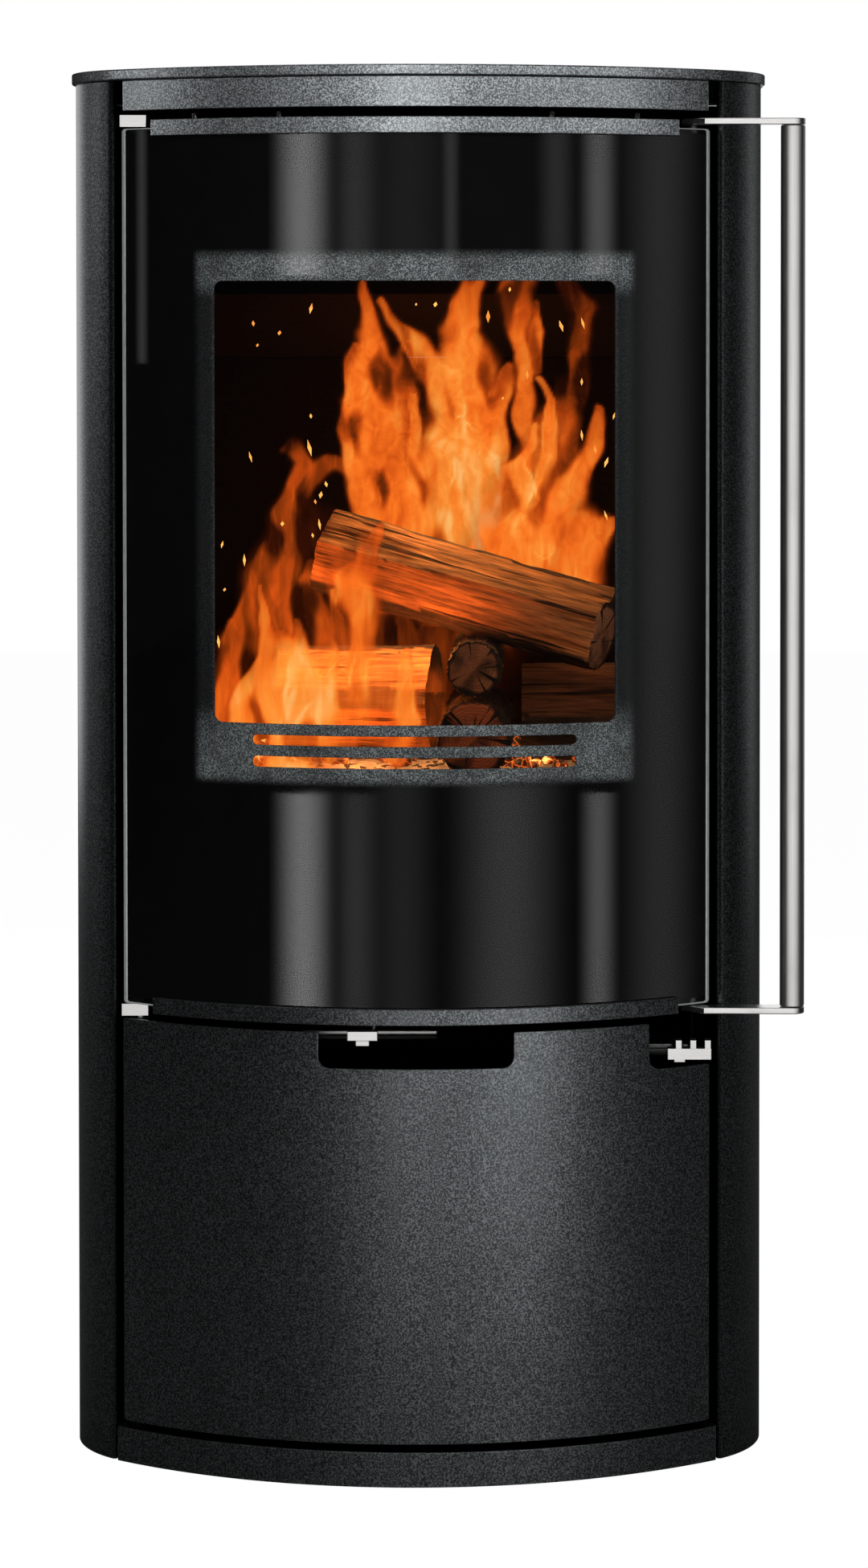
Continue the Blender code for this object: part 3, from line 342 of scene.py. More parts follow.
    def edges(self, width: float) -> Socket:
        """Return how near a point is to a sharp edge, 0 on a face to 1 on the edge.

        Args:
            width: How far from the edge it starts, in metres.

        Returns:
            The nearness.
        """
        eased = self.node("Bevel", samples=4)
        eased.inputs["Radius"].default_value = width
        turn = self.node("VectorMath", operation="DOT_PRODUCT")
        self.feed(turn.inputs[0], eased.outputs[0])
        self.feed(turn.inputs[1], self.node("NewGeometry").outputs["Normal"])
        return self.fade(turn.outputs["Value"], 0.995, 0.86)

    def split(self, vector: Socket) -> tuple[Socket, ...]:
        """Return the three parts of a vector.

        Args:
            vector: The vector.

        Returns:
            Its x, y and z.
        """
        made = self.node("SeparateXYZ")
        self.feed(made.inputs[0], vector)
        return tuple(made.outputs)

    def mark(self, name: str) -> Socket:
        """Return a number that the mesh carries at its points."""
        return self.node("Attribute", attribute_name=name).outputs["Fac"]


@dataclass(frozen=True)
class Finish:
    """One surface finish, and the material slot of the record that it repaints."""

    name: str
    slot: str | None

    def mix(self) -> bpy.types.Material:
        """Return the finish's material, mixed on first use.

        Returns:
            The material.
        """
        made = bpy.data.materials.get(self.name)
        if made is None:
            recipe = Recipe(self.name)
            self.stir(recipe)
            made = recipe.material
        return made

    def stir(self, recipe: Recipe) -> None:
        """Fill the recipe of this finish.

        Args:
            recipe: The empty recipe.
        """
        raise NotImplementedError


@dataclass(frozen=True)
class SpeckledPaint(Finish):
    """Sprayed heat-proof paint with fine metal flakes."""

    base: Triple = (0.150, 0.161, 0.166)
    gloss: float = 0.37
    metal: float = 0.85
    fleck: float = 0.0012

    def stir(self, recipe: Recipe) -> None:
        """Mix grey paint with light and dark flecks, rubbed a little brighter at its edges.

        Args:
            recipe: The recipe being mixed.
        """
        fleck = recipe.noise(self.fleck, detail=1.0)
        cloud = recipe.noise(0.045, detail=2.0)
        dark = shade(self.base, 0.42)
        light = shade(self.base, 2.2)
        colour = recipe.ramp(recipe.fade(fleck, 0.34, 0.68), ((0.0, dark), (0.5, self.base), (1.0, light)))
        colour = recipe.blend(recipe.fade(cloud, 0.3, 0.7, 0.0, 0.16), colour, dark)
        rubbed = recipe.times(recipe.edges(0.0009), recipe.fade(recipe.noise(0.012), 0.35, 0.65, 0.3, 0.8))
        colour = recipe.blend(rubbed, colour, shade(self.base, 3.6))
        grain = recipe.plus(recipe.noise(0.0005, detail=2.0), recipe.times(fleck, 0.7))
        recipe.paint(Base_Color=colour, Metallic=self.metal,
                     Roughness=recipe.fade(fleck, 0.3, 0.7, self.gloss - 0.05, self.gloss + 0.06),
                     Normal=recipe.bump(grain, 0.00004))


@dataclass(frozen=True)
class PanelPaint(Finish):
    """Black paint behind the glass, left grey and speckled round the window and its slots."""

    half_width: float = 0.1585
    low: float = 0.511
    high: float = 0.893
    beside: Point = (0.138, 0.150)
    beside_low: Point = (0.535, 0.57)
    beside_high: Point = (0.88, 0.86)

    def stir(self, recipe: Recipe) -> None:
        """Mix a soft-edged grey field in near-black paint.

        Args:
            recipe: The recipe being mixed.
        """
        x, _, z = recipe.split(recipe.place())
        wide = recipe.math("ABSOLUTE", x)
        across = recipe.fade(wide, self.half_width + 0.004, self.half_width - 0.004)
        above = recipe.fade(z, self.low - 0.004, self.low + 0.004)
        below = recipe.fade(z, self.high + 0.005, self.high - 0.005)
        field = recipe.times(above, below, across)
        beside = recipe.times(recipe.fade(wide, *self.beside), recipe.fade(z, *self.beside_low),
                              recipe.fade(z, *self.beside_high))
        fleck = recipe.noise(0.0010, detail=1.5)
        greys = ((0.0, (0.045, 0.052, 0.056)), (0.5, (0.135, 0.150, 0.157)), (1.0, (0.32, 0.345, 0.355)))
        grey = recipe.ramp(recipe.fade(fleck, 0.38, 0.68), greys)
        grey = recipe.blend(recipe.times(beside, 0.93), grey, (0.008, 0.009, 0.010))
        black = recipe.blend(recipe.noise(0.02), (0.0022, 0.0021, 0.0021), (0.0045, 0.0041, 0.0040))
        soot = recipe.fade(recipe.noise(0.03, detail=4.0), 0.35, 0.75, 0.0, 0.5)
        colour = recipe.blend(field, black, recipe.blend(soot, grey, (0.022, 0.020, 0.019)))
        recipe.paint(Base_Color=colour, Metallic=0.2, Roughness=recipe.fade(fleck, 0.3, 0.7, 0.60, 0.72),
                     Specular_IOR_Level=0.02, Normal=recipe.bump(fleck, 0.00001))


@dataclass(frozen=True)
class MattBlackSteel(Finish):
    """Welded steel painted matt black, dusted with ash and soot."""

    base: Triple = (0.016, 0.015, 0.0145)
    dust: float = 0.35

    def stir(self, recipe: Recipe) -> None:
        """Mix black paint with soot clouds, dusty patches and burnished edges.

        Args:
            recipe: The recipe being mixed.
        """
        cloud = recipe.noise(0.04, detail=5.0, rough=0.6)
        grit = recipe.noise(0.0008, detail=2.0)
        dusty = tuple(c * 2.4 + 0.008 for c in self.base)
        colour = recipe.blend(recipe.fade(cloud, 0.42, 0.75, 0.0, self.dust), self.base, dusty)
        colour = recipe.blend(recipe.fade(grit, 0.55, 0.75, 0.0, 0.4), colour, dusty)
        colour = recipe.blend(recipe.times(recipe.edges(0.0010), 0.5), colour, (0.10, 0.098, 0.095))
        recipe.paint(Base_Color=colour, Metallic=0.4, Roughness=recipe.fade(cloud, 0.3, 0.7, 0.50, 0.68),
                     Normal=recipe.bump(grit, 0.00008))


@dataclass(frozen=True)
class BrushedMetal(Finish):
    """Bare metal with brush lines."""

    base: Triple = (0.60, 0.59, 0.57)
    gloss: float = 0.26
    grain: Grain = Grain.UPRIGHT
    stain: float = 0.1

    def stir(self, recipe: Recipe) -> None:
        """Mix metal whose brush lines run one way, with faint stains and bright edges.

        Args:
            recipe: The recipe being mixed.
        """
        lines = recipe.node("TexNoise")
        recipe.feed(lines.inputs["Vector"], recipe.place(self.grain.value))
        lines.inputs["Scale"].default_value = 1.0
        lines.inputs["Detail"].default_value = 3.0
        brush = lines.outputs[0]
        smear = recipe.noise(0.025, detail=4.0)
        dark = shade(self.base, 0.78)
        colour = recipe.blend(recipe.fade(brush, 0.3, 0.7), dark, self.base)
        colour = recipe.blend(recipe.fade(smear, 0.5, 0.8, 0.0, self.stain), colour, shade(self.base, 0.35))
        colour = recipe.blend(recipe.edges(0.0005), colour, shade(self.base, 1.25))
        rough = recipe.plus(recipe.fade(brush, 0.25, 0.75, self.gloss - 0.05, self.gloss + 0.05),
                            recipe.fade(smear, 0.45, 0.8, 0.0, self.stain * 0.4))
        recipe.paint(Base_Color=colour, Metallic=1.0, Roughness=rough, Normal=recipe.bump(brush, 0.000006))


@dataclass(frozen=True)
class ClearGlass(Finish):
    """Clear heat-proof glass, lightly smoked."""

    tint: Triple = (0.93, 0.93, 0.925)

    def stir(self, recipe: Recipe) -> None:
        """Mix see-through glass that mirrors on its outer faces, with faint wipe marks.

        Args:
            recipe: The recipe being mixed.
        """
        smear = recipe.noise(0.05, recipe.place((1.0, 1.0, 3.0)), detail=3.0)
        clear = recipe.node("BsdfTransparent")
        recipe.feed(clear.inputs[0], recipe.blend(recipe.fade(smear, 0.35, 0.75), self.tint,
                                                  shade(self.tint, 0.97)))
        mirror = recipe.node("BsdfGlossy")
        recipe.feed(mirror.inputs["Roughness"], recipe.fade(smear, 0.3, 0.8, 0.02, 0.045))
        bend = recipe.node("Fresnel")
        bend.inputs["IOR"].default_value = 1.5
        front = recipe.math("SUBTRACT", 1.0, recipe.node("NewGeometry").outputs["Backfacing"])
        mixed = recipe.node("MixShader")
        recipe.feed(mixed.inputs[0], recipe.times(bend.outputs[0], front))
        recipe.feed(mixed.inputs[1], clear.outputs[0])
        recipe.feed(mixed.inputs[2], mirror.outputs[0])
        recipe.tree.links.new(mixed.outputs[0], recipe.output.inputs[0])
        recipe.tree.nodes.remove(recipe.shader)


@dataclass(frozen=True)
class PolishedEdge(Finish):
    """The ground and polished rim of the glass, with a faint painted glow standing in for the highlight along
    it.
    """

    base: Triple = (0.66, 0.71, 0.71)

    def stir(self, recipe: Recipe) -> None:
        """Mix a bright, glossy rim with faint grinding marks, and give it a faint glow of painted highlight.

        Args:
            recipe: The recipe being mixed.
        """
        marks = recipe.noise(0.0015, recipe.place((1.0, 1.0, 5.0)), detail=3.0)
        colour = recipe.blend(recipe.fade(marks, 0.3, 0.7), shade(self.base, 0.8), self.base)
        # The emission is painted light: a faint glow that stands in for the bright highlight along the glass
        # rim.
        recipe.paint(Base_Color=colour, Metallic=0.35, Roughness=recipe.fade(marks, 0.3, 0.7, 0.10, 0.2),
                     Normal=recipe.bump(marks, 0.00001), Emission_Color=colour, Emission_Strength=0.22)


@dataclass(frozen=True)
class CastIron(Finish):
    """Cast iron with a sandy skin, sooty and ash-dusted."""

    base: Triple = (0.03, 0.029, 0.028)

    def stir(self, recipe: Recipe) -> None:
        """Mix pitted dark iron with grey ash in its hollows.

        Args:
            recipe: The recipe being mixed.
        """
        skin = recipe.noise(0.0016, detail=4.0, rough=0.6)
        ash = recipe.noise(0.02, detail=5.0)
        colour = recipe.blend(recipe.fade(skin, 0.35, 0.7), self.base, shade(self.base, 2.0))
        colour = recipe.blend(recipe.fade(ash, 0.5, 0.75, 0.0, 0.6), colour, (0.16, 0.15, 0.14))
        recipe.paint(Base_Color=colour, Metallic=0.5, Roughness=recipe.fade(skin, 0.3, 0.7, 0.62, 0.8),
                     Normal=recipe.bump(skin, 0.0003))


@dataclass(frozen=True)
class SootyBoard(Finish):
    """Pressed vermiculite board, blackened by the fire above its clean lower part."""

    base: Triple = (0.105, 0.078, 0.054)

    def stir(self, recipe: Recipe) -> None:
        """Mix flaky board with soot that thickens upwards and pale chipped edges.

        Args:
            recipe: The recipe being mixed.
        """
        flake = recipe.cells(0.0032, recipe.place((1.0, 1.0, 0.55)), output="Color")
        tone = recipe.split(flake)[0]
        crumb = recipe.noise(0.004, detail=4.0)
        board = recipe.ramp(tone, ((0.0, shade(self.base, 0.5)), (0.7, self.base),
                                   (1.0, shade(self.base, 1.6))))
        cloud = recipe.noise(0.06, detail=5.0, rough=0.6)
        height = recipe.split(recipe.place())[2]
        black = recipe.fade(recipe.plus(height, recipe.times(cloud, 0.16)), 0.54, 0.66, 0.60, 0.97)
        colour = recipe.blend(black, board, (0.0036, 0.0028, 0.0024))
        colour = recipe.blend(recipe.times(recipe.edges(0.0018), recipe.fade(crumb, 0.4, 0.7, 0.0, 0.45)),
                              colour, (0.030, 0.022, 0.016))
        recipe.paint(Base_Color=colour, Roughness=recipe.fade(crumb, 0.3, 0.7, 0.85, 0.98),
                     Normal=recipe.bump(recipe.plus(crumb, recipe.times(tone, 0.4)), 0.0005))


@dataclass(frozen=True)
class BraidedRope(Finish):
    """Glass-fibre rope with a round braid, greyed by smoke."""

    base: Triple = (0.075, 0.072, 0.068)
    pitch: float = 0.0035

    def stir(self, recipe: Recipe) -> None:
        """Mix two crossing sets of strands.

        Args:
            recipe: The recipe being mixed.
        """
        x, _, z = recipe.split(recipe.place())
        strands = []
        for sign in (1.0, -1.0):
            slant = recipe.plus(recipe.times(x, sign), z)
            wave = recipe.math("SINE", recipe.times(slant, math.pi / self.pitch))
            strands.append(recipe.math("ABSOLUTE", wave))
        weave = recipe.most(*strands)
        fibre = recipe.noise(0.0006, detail=3.0)
        colour = recipe.blend(recipe.fade(weave, 0.55, 0.95), shade(self.base, 0.35), self.base)
        colour = recipe.blend(recipe.fade(recipe.noise(0.03, detail=4.0), 0.45, 0.7, 0.0, 0.7), colour,
                              (0.012, 0.010, 0.009))
        recipe.paint(Base_Color=colour, Roughness=recipe.fade(fibre, 0.3, 0.7, 0.85, 0.98), Sheen_Weight=0.3,
                     Normal=recipe.bump(recipe.plus(weave, recipe.times(fibre, 0.4)), 0.0006))


@dataclass(frozen=True)
class FireWood(Finish):
    """Firewood along the grain: bark on the round side, fibres on the split side, both charring."""

    bark: Triple = (0.060, 0.034, 0.022)
    fibre: Triple = (0.30, 0.135, 0.055)

    def stir(self, recipe: Recipe) -> None:
        """Mix long fibres with ridged bark, then blacken both.

        Args:
            recipe: The recipe being mixed.
        """
        along = recipe.place((14.0, 1.0, 1.0))
        grain = recipe.noise(0.0022, along, detail=5.0, rough=0.6)
        broad = recipe.noise(0.010, recipe.place((7.0, 1.0, 1.0)), detail=3.0)
        dark = shade(self.fibre, 0.22)
        pale = shade(self.fibre, 1.9)
        split = recipe.ramp(recipe.plus(recipe.times(grain, 0.6), recipe.times(broad, 0.4)),
                            ((0.36, dark), (0.5, self.fibre), (0.64, pale)))
        gap = recipe.noise(0.0055, recipe.place((22.0, 1.0, 1.0)), detail=3.0, warp=0.3)
        split = recipe.blend(recipe.fade(gap, 0.60, 0.66, 0.0, 0.9), split, (0.012, 0.006, 0.004))
        scale = recipe.noise(0.006, recipe.place((4.0, 1.0, 1.0)), detail=5.0, rough=0.65)
        rind = recipe.ramp(scale, ((0.35, shade(self.bark, 0.3)), (0.55, self.bark),
                                   (0.72, shade(self.bark, 2.3))))
        colour = recipe.blend(recipe.mark("bark"), split, rind)
        cracks = recipe.cells(0.011, recipe.place((2.2, 1.0, 1.0)), "DISTANCE_TO_EDGE")
        patch = recipe.noise(0.022, detail=5.0, rough=0.6)
        charred = recipe.fade(recipe.plus(recipe.mark("char"), recipe.times(patch, 0.8)), 0.55, 1.05)
        char = recipe.blend(recipe.fade(cracks, 0.0, 0.07), (0.006, 0.005, 0.005), (0.020, 0.015, 0.013))
        colour = recipe.blend(charred, colour, char)
        height = recipe.plus(recipe.times(grain, 0.6), recipe.times(scale, 0.8))
        height = recipe.math("SUBTRACT", height, recipe.fade(gap, 0.58, 0.68))
        recipe.paint(Base_Color=colour, Roughness=recipe.fade(grain, 0.3, 0.7, 0.78, 0.95),
                     Normal=recipe.bump(height, 0.0018))


@dataclass(frozen=True)
class EndGrain(Finish):
    """The cut end of a log: rings, radial cracks and a bark rim."""

    pith: Point = (0.0, 0.0)
    radius: float = 0.03
    wood: Triple = (0.20, 0.115, 0.060)

    def stir(self, recipe: Recipe) -> None:
        """Mix year rings round the pith, drying cracks and saw marks.

        Args:
            recipe: The recipe being mixed.
        """
        _, y, z = recipe.split(recipe.place())
        y = recipe.math("SUBTRACT", y, self.pith[0])
        z = recipe.math("SUBTRACT", z, self.pith[1])
        wobble = recipe.times(recipe.math("SUBTRACT", recipe.noise(0.02, detail=2.0), 0.5), 0.010)
        squares = recipe.plus(recipe.times(y, y), recipe.times(z, z))
        reach = recipe.plus(recipe.math("SQRT", squares), wobble)
        rings = recipe.math("ABSOLUTE", recipe.math("SINE", recipe.times(reach, math.pi / 0.0022)))
        saw = recipe.noise(0.0011, recipe.place((1.0, 8.0, 1.0), (35.0, 0.0, 0.0)), detail=3.0)
        angle = recipe.math("ARCTAN2", z, y)
        ray = recipe.noise(0.55, self.spread(recipe, angle, reach), detail=3.0)
        crack = recipe.times(recipe.fade(ray, 0.585, 0.64), recipe.fade(reach, 0.003, 0.009))
        colour = recipe.blend(recipe.fade(rings, 0.2, 0.9), shade(self.wood, 0.62), self.wood)
        colour = recipe.blend(recipe.fade(saw, 0.35, 0.7, 0.0, 0.45), colour, shade(self.wood, 0.55))
        rim = recipe.fade(reach, self.radius * 0.80, self.radius * 0.90)
        colour = recipe.blend(rim, colour, (0.022, 0.013, 0.009))
        smoke = recipe.fade(recipe.noise(0.016, detail=4.0), 0.40, 0.66, 0.0, 0.72)
        colour = recipe.blend(smoke, colour, (0.013, 0.010, 0.009))
        colour = recipe.blend(crack, colour, (0.003, 0.002, 0.002))
        height = recipe.math("SUBTRACT", recipe.times(saw, 0.4), crack)
        recipe.paint(Base_Color=colour, Roughness=recipe.fade(saw, 0.3, 0.7, 0.75, 0.92),
                     Normal=recipe.bump(height, 0.0010))

    def spread(self, recipe: Recipe, angle: Socket, reach: Socket) -> Socket:
        """Return a place that changes fast round the pith and slowly outwards.

        Args:
            recipe: The recipe being mixed.
            angle: The angle round the pith.
            reach: The distance from the pith.

        Returns:
            The place as a vector.
        """
        made = recipe.node("CombineXYZ")
        recipe.feed(made.inputs[0], recipe.times(angle, 2.6))
        recipe.feed(made.inputs[1], recipe.times(reach, 9.0))
        made.inputs[2].default_value = self.radius * 100.0
        return made.outputs[0]


@dataclass(frozen=True)
class GlowingCoal(Finish):
    """Embers: grey ash skin over coals that glow in their cracks."""

    glow: float = 2.2

    def stir(self, recipe: Recipe) -> None:
        """Mix ash, black coal and a glow that breaks through.

        Args:
            recipe: The recipe being mixed.
        """
        skin = recipe.noise(0.006, detail=5.0, rough=0.65)
        heat = recipe.noise(0.022, detail=4.0)
        cracks = recipe.cells(0.008, None, "DISTANCE_TO_EDGE")
        hot = recipe.plus(recipe.fade(heat, 0.48, 0.72), recipe.fade(cracks, 0.10, 0.0, 0.0, 0.5))
        greys = ((0.35, (0.006, 0.005, 0.005)), (0.55, (0.05, 0.04, 0.036)), (0.72, (0.26, 0.24, 0.22)))
        reds = ((0.0, (0.05, 0.003, 0.0)), (0.35, (0.55, 0.05, 0.004)), (0.7, (1.0, 0.22, 0.03)),
                (1.0, (1.0, 0.5, 0.12)))
        colour = recipe.ramp(skin, greys)
        fire = recipe.ramp(hot, reds)
        recipe.paint(Base_Color=colour, Roughness=recipe.fade(skin, 0.3, 0.7, 0.8, 1.0),
                     Normal=recipe.bump(skin, 0.0012), Emission_Color=fire,
                     Emission_Strength=recipe.times(hot, self.glow))


@dataclass(frozen=True)
class WoodAsh(Finish):
    """Soft grey ash with crumbs of charcoal."""

    def stir(self, recipe: Recipe) -> None:
        """Mix pale powder with dark crumbs.

        Args:
            recipe: The recipe being mixed.
        """
        crumb = recipe.cells(0.0045, output="Color")
        powder = recipe.noise(0.012, detail=6.0, rough=0.65)
        colour = recipe.blend(recipe.fade(powder, 0.3, 0.7), (0.16, 0.145, 0.13), (0.34, 0.32, 0.30))
        colour = recipe.blend(recipe.fade(recipe.split(crumb)[1], 0.72, 0.8), colour, (0.012, 0.010, 0.010))
        recipe.paint(Base_Color=colour, Roughness=recipe.fade(powder, 0.3, 0.7, 0.9, 1.0),
                     Normal=recipe.bump(powder, 0.0015))


@dataclass(frozen=True)
class FlameLight(Finish):
    """Burning gas: deep red where it is thin and cool, yellow where it is hot."""

    strength: float = 1.3

    def stir(self, recipe: Recipe) -> None:
        """Mix a glow whose heat and cover the mesh carries, with fine streaks drawn upwards.

        Args:
            recipe: The recipe being mixed.
        """
        streak = recipe.noise(0.009, recipe.place((1.0, 1.0, 4.5)), detail=3.0, warp=0.8)
        heat = recipe.plus(recipe.mark("flame_heat"), recipe.fade(streak, 0.32, 0.68, -0.045, 0.045))
        colour = recipe.ramp(heat, ((0.0, (0.055, 0.007, 0.001)), (0.22, (0.26, 0.036, 0.003)),
                                    (0.42, (0.66, 0.082, 0.006)), (0.60, (0.94, 0.165, 0.013)),
                                    (0.80, (1.0, 0.285, 0.035)), (1.0, (1.0, 0.47, 0.13))))
        cover = recipe.times(recipe.mark("flame_cover"), recipe.fade(streak, 0.25, 0.75, 0.90, 1.0))
        recipe.paint(Base_Color=(0.0, 0.0, 0.0), Roughness=1.0, Specular_IOR_Level=0.0, Emission_Color=colour,
                     Emission_Strength=self.strength, Alpha=cover)


@dataclass(frozen=True)
class SparkLight(Finish):
    """Glowing specks carried up by the draught."""

    def stir(self, recipe: Recipe) -> None:
        """Mix a glow that differs from speck to speck.

        Args:
            recipe: The recipe being mixed.
        """
        tone = recipe.noise(0.02)
        colour = recipe.blend(recipe.fade(tone, 0.30, 0.55), (0.9, 0.24, 0.03), (1.0, 0.50, 0.11))
        recipe.paint(Base_Color=(0.02, 0.01, 0.0), Roughness=recipe.fade(tone, 0.3, 0.7, 0.8, 1.0),
                     Emission_Color=colour, Emission_Strength=1.5)


@dataclass(frozen=True)
class StudioPaper(Finish):
    """The pale seamless paper that the stove stands on, with its glow cut away just under the casing as
    painted shade.

    Each pair holds where the paper starts to turn white and where it is white.
    """

    white: float = 0.975
    bow_inset: float = 0.012
    beside_bow: Point = (0.150, 0.175)
    behind_bow: Point = (0.150, 0.200)
    corner: Point = (0.1695, -0.07267)
    corner_radius: float = 0.077
    beside_casing: Point = (0.2562, 0.2574)
    middle_y: float = 0.07
    past_casing: Point = (0.1425, 0.1450)
    rim: float = 0.010

    def stir(self, recipe: Recipe) -> None:
        """Mix pale matt paper that reads as white and throws back only a little light, with a painted shade
        under the casing.

        Args:
            recipe: The recipe being mixed.
        """
        fibre = recipe.noise(0.004, detail=3.0)
        colour = recipe.blend(recipe.fade(fibre, 0.3, 0.7), (0.22, 0.22, 0.22), (0.24, 0.24, 0.24))
        seen = recipe.node("LightPath").outputs["Is Camera Ray"]
        x, y, _ = recipe.split(recipe.place())
        wide = recipe.math("ABSOLUTE", x)
        deep = recipe.math("ABSOLUTE", recipe.math("SUBTRACT", y, self.middle_y))
        bow = self.disc(recipe, (x, y), (0.0, BOW.centre_y), BOW.radius - self.bow_inset)
        front = recipe.most(bow, recipe.fade(wide, *self.beside_bow), recipe.fade(y, *self.behind_bow))
        corner = self.disc(recipe, (wide, y), self.corner, self.corner_radius)
        block = recipe.most(recipe.fade(wide, *self.beside_casing), recipe.fade(deep, *self.past_casing))
        # The glow is cut away inside the casing's outline: painted shade under the stove.
        glow_outside_painted_shade = recipe.least(front, corner, block)
        recipe.paint(Base_Color=colour, Roughness=0.95, Normal=recipe.bump(fibre, 0.0001),
                     Emission_Color=(1.0, 1.0, 1.0),
                     Emission_Strength=recipe.times(seen, glow_outside_painted_shade, self.white))

    def disc(self, recipe: Recipe, spot: tuple[Input, Input], centre: Point, radius: float) -> Socket:
        """Return 0 inside a disc on the floor and 1 outside it, with a soft rim.

        Args:
            recipe: The recipe being mixed.
            spot: The x and y of the floor.
            centre: The disc's centre.
            radius: The disc's radius.

        Returns:
            The soft disc.
        """
        away = [recipe.math("POWER", recipe.math("ABSOLUTE", recipe.math("SUBTRACT", value, middle)), 2.0)
                for value, middle in zip(spot, centre)]
        return recipe.fade(recipe.math("SQRT", recipe.plus(*away)), radius, radius + self.rim)


CASING = SpeckledPaint("casing_paint_speckled", "casing_paint")
# A darker copy of the casing paint: painted shade for the base plate, the store floor and the seam strips,
# which sit in shade.
SHADED_CASING = SpeckledPaint("casing_paint_inside", "casing_paint", base=(0.06, 0.063, 0.065), gloss=0.55)
PANEL = PanelPaint("door_panel_paint", "casing_paint")
BLACK_STEEL = MattBlackSteel("matt_black_steel", "body_steel")
SOOTY_STEEL = MattBlackSteel("sooty_firebox_steel", "body_steel", base=(0.0045, 0.004, 0.0037), dust=0.12)
ROLLED_STEEL = BrushedMetal("rolled_steel", "plain_steel", (0.24, 0.24, 0.235), 0.38, Grain.UPRIGHT, 0.35)
BAR_STEEL = BrushedMetal("satin_stainless_bar", "stainless", (0.60, 0.59, 0.58), 0.33, Grain.UPRIGHT, 0.08)
FLAT_STEEL = BrushedMetal("satin_stainless_flat", "stainless", (0.66, 0.65, 0.64), 0.25, Grain.ACROSS, 0.10)
PANE = ClearGlass("clear_glass", "door_glass")
PANE_RIM = PolishedEdge("polished_glass_rim", "door_glass")
IRON = CastIron("sandy_cast_iron", "cast_iron")
BOARD = SootyBoard("sooty_vermiculite", "vermiculite")
ROPE = BraidedRope("braided_door_rope", "rope_seal")


# Making meshes


@dataclass(frozen=True)
class BowedFront:
    """The upright cylinder that the whole front of the stove follows."""

    radius: float = 0.384
    centre_y: float = 0.170
    strip: float = 0.005
    strips: int = 90

    def y(self, inset: float, x: float) -> float:
        """Return y of the bow, set back by inset, at x."""
        return self.centre_y - math.sqrt((self.radius - inset) ** 2 - x ** 2)

    def bend(self, mesh: Mesh, inset: float, thickness: float) -> Mesh:
        """Roll a flat plate onto the bow.

        Args:
            mesh: A plate with x across, y up and its thickness along z.
            inset: How far its outer face lies behind the bow.
            thickness: Its thickness.

        Returns:
            The same mesh, rolled.
        """
        work = bmesh.new()
        work.from_mesh(mesh)
        reach = max(abs(v.co.x) for v in work.verts)
        count = int(reach / self.strip)
        for step in range(-count, count + 1):
            every = work.verts[:] + work.edges[:] + work.faces[:]
            bmesh.ops.bisect_plane(work, geom=every, plane_co=(step * self.strip, 0, 0), plane_no=(1, 0, 0))
        outer = self.radius - inset
        for vert in work.verts:
            angle = math.asin(vert.co.x / outer)
            radius = outer - thickness / 2 + vert.co.z
            vert.co = (radius * math.sin(angle), self.centre_y - radius * math.cos(angle), vert.co.y)
        work.to_mesh(mesh)
        work.free()
        return smoothed(mesh)

    def sweep(self, name: str, profile: Loop, half_width: float) -> Mesh:
        """Draw a section along the bow.

        Args:
            name: The mesh name.
            profile: The section as pairs of inset and height.
            half_width: Half the width across the bow.

        Returns:
            The mesh.
        """
        work = bmesh.new()
        rings = []
        reach = math.asin(half_width / self.radius)
        for step in range(self.strips + 1):
            angle = reach * (2 * step / self.strips - 1)
            rings.append([work.verts.new(((self.radius - inset) * math.sin(angle),
                                          self.centre_y - (self.radius - inset) * math.cos(angle), z))
                          for inset, z in profile])
        return closed_tube(name, work, rings)


BOW = BowedFront()


def smoothed(mesh: Mesh, angle: float = 35.0) -> Mesh:
    """Shade a mesh smooth but for its sharp edges.

    Args:
        mesh: The mesh.
        angle: The angle in degrees above which an edge stays sharp.

    Returns:
        The same mesh.
    """
    mesh.shade_smooth()
    mesh.set_sharp_from_angle(angle=math.radians(angle))
    return mesh


def drawn(name: str, work: Points, angle: float = 35.0) -> Mesh:
    """Turn drawn points and faces into a smooth mesh.

    Args:
        name: The mesh name.
        work: The points and faces, which are freed.
        angle: The angle in degrees above which an edge stays sharp.

    Returns:
        The mesh.
    """
    mesh = bpy.data.meshes.new(name)
    work.to_mesh(mesh)
    work.free()
    return smoothed(mesh, angle)


def lap(work: Points, first: Sequence[Vert], second: Sequence[Vert], material: int = 0) -> None:
    """Join two rings of points with a belt of faces.

    Args:
        work: The mesh being drawn.
        first: The first ring.
        second: The second ring, of the same length.
        material: The number of the belt's material.
    """
    for i in range(len(first)):
        j = (i + 1) % len(first)
        work.faces.new((first[i], first[j], second[j], second[i])).material_index = material


def welded(mesh: Mesh, reach: float) -> Mesh:
    """Join the points of a mesh that lie within reach of each other, and turn its faces outwards.

    Args:
        mesh: The mesh.
        reach: The largest distance between joined points.

    Returns:
        The same mesh.
    """
    work = bmesh.new()
    work.from_mesh(mesh)
    bmesh.ops.remove_doubles(work, verts=work.verts, dist=reach)
    bmesh.ops.recalc_face_normals(work, faces=work.faces)
    work.to_mesh(mesh)
    work.free()
    return mesh


def closed_tube(name: str, work: Points, rings: list[list[Vert]], looped: bool = False) -> Mesh:
    """Skin rings of points into a closed body.

    Args:
        name: The mesh name.
        work: The mesh that holds the points; it is freed.
        rings: The rings in order, all of one length.
        looped: Whether the last ring joins the first, with no end caps.

    Returns:
        The mesh.
    """
    for first, second in zip(rings, rings[1:] + rings[:1] if looped else rings[1:]):
        lap(work, first, second)
    if not looped:
        work.faces.new(rings[0][::-1])
        work.faces.new(rings[-1])
    bmesh.ops.recalc_face_normals(work, faces=work.faces)
    return drawn(name, work)


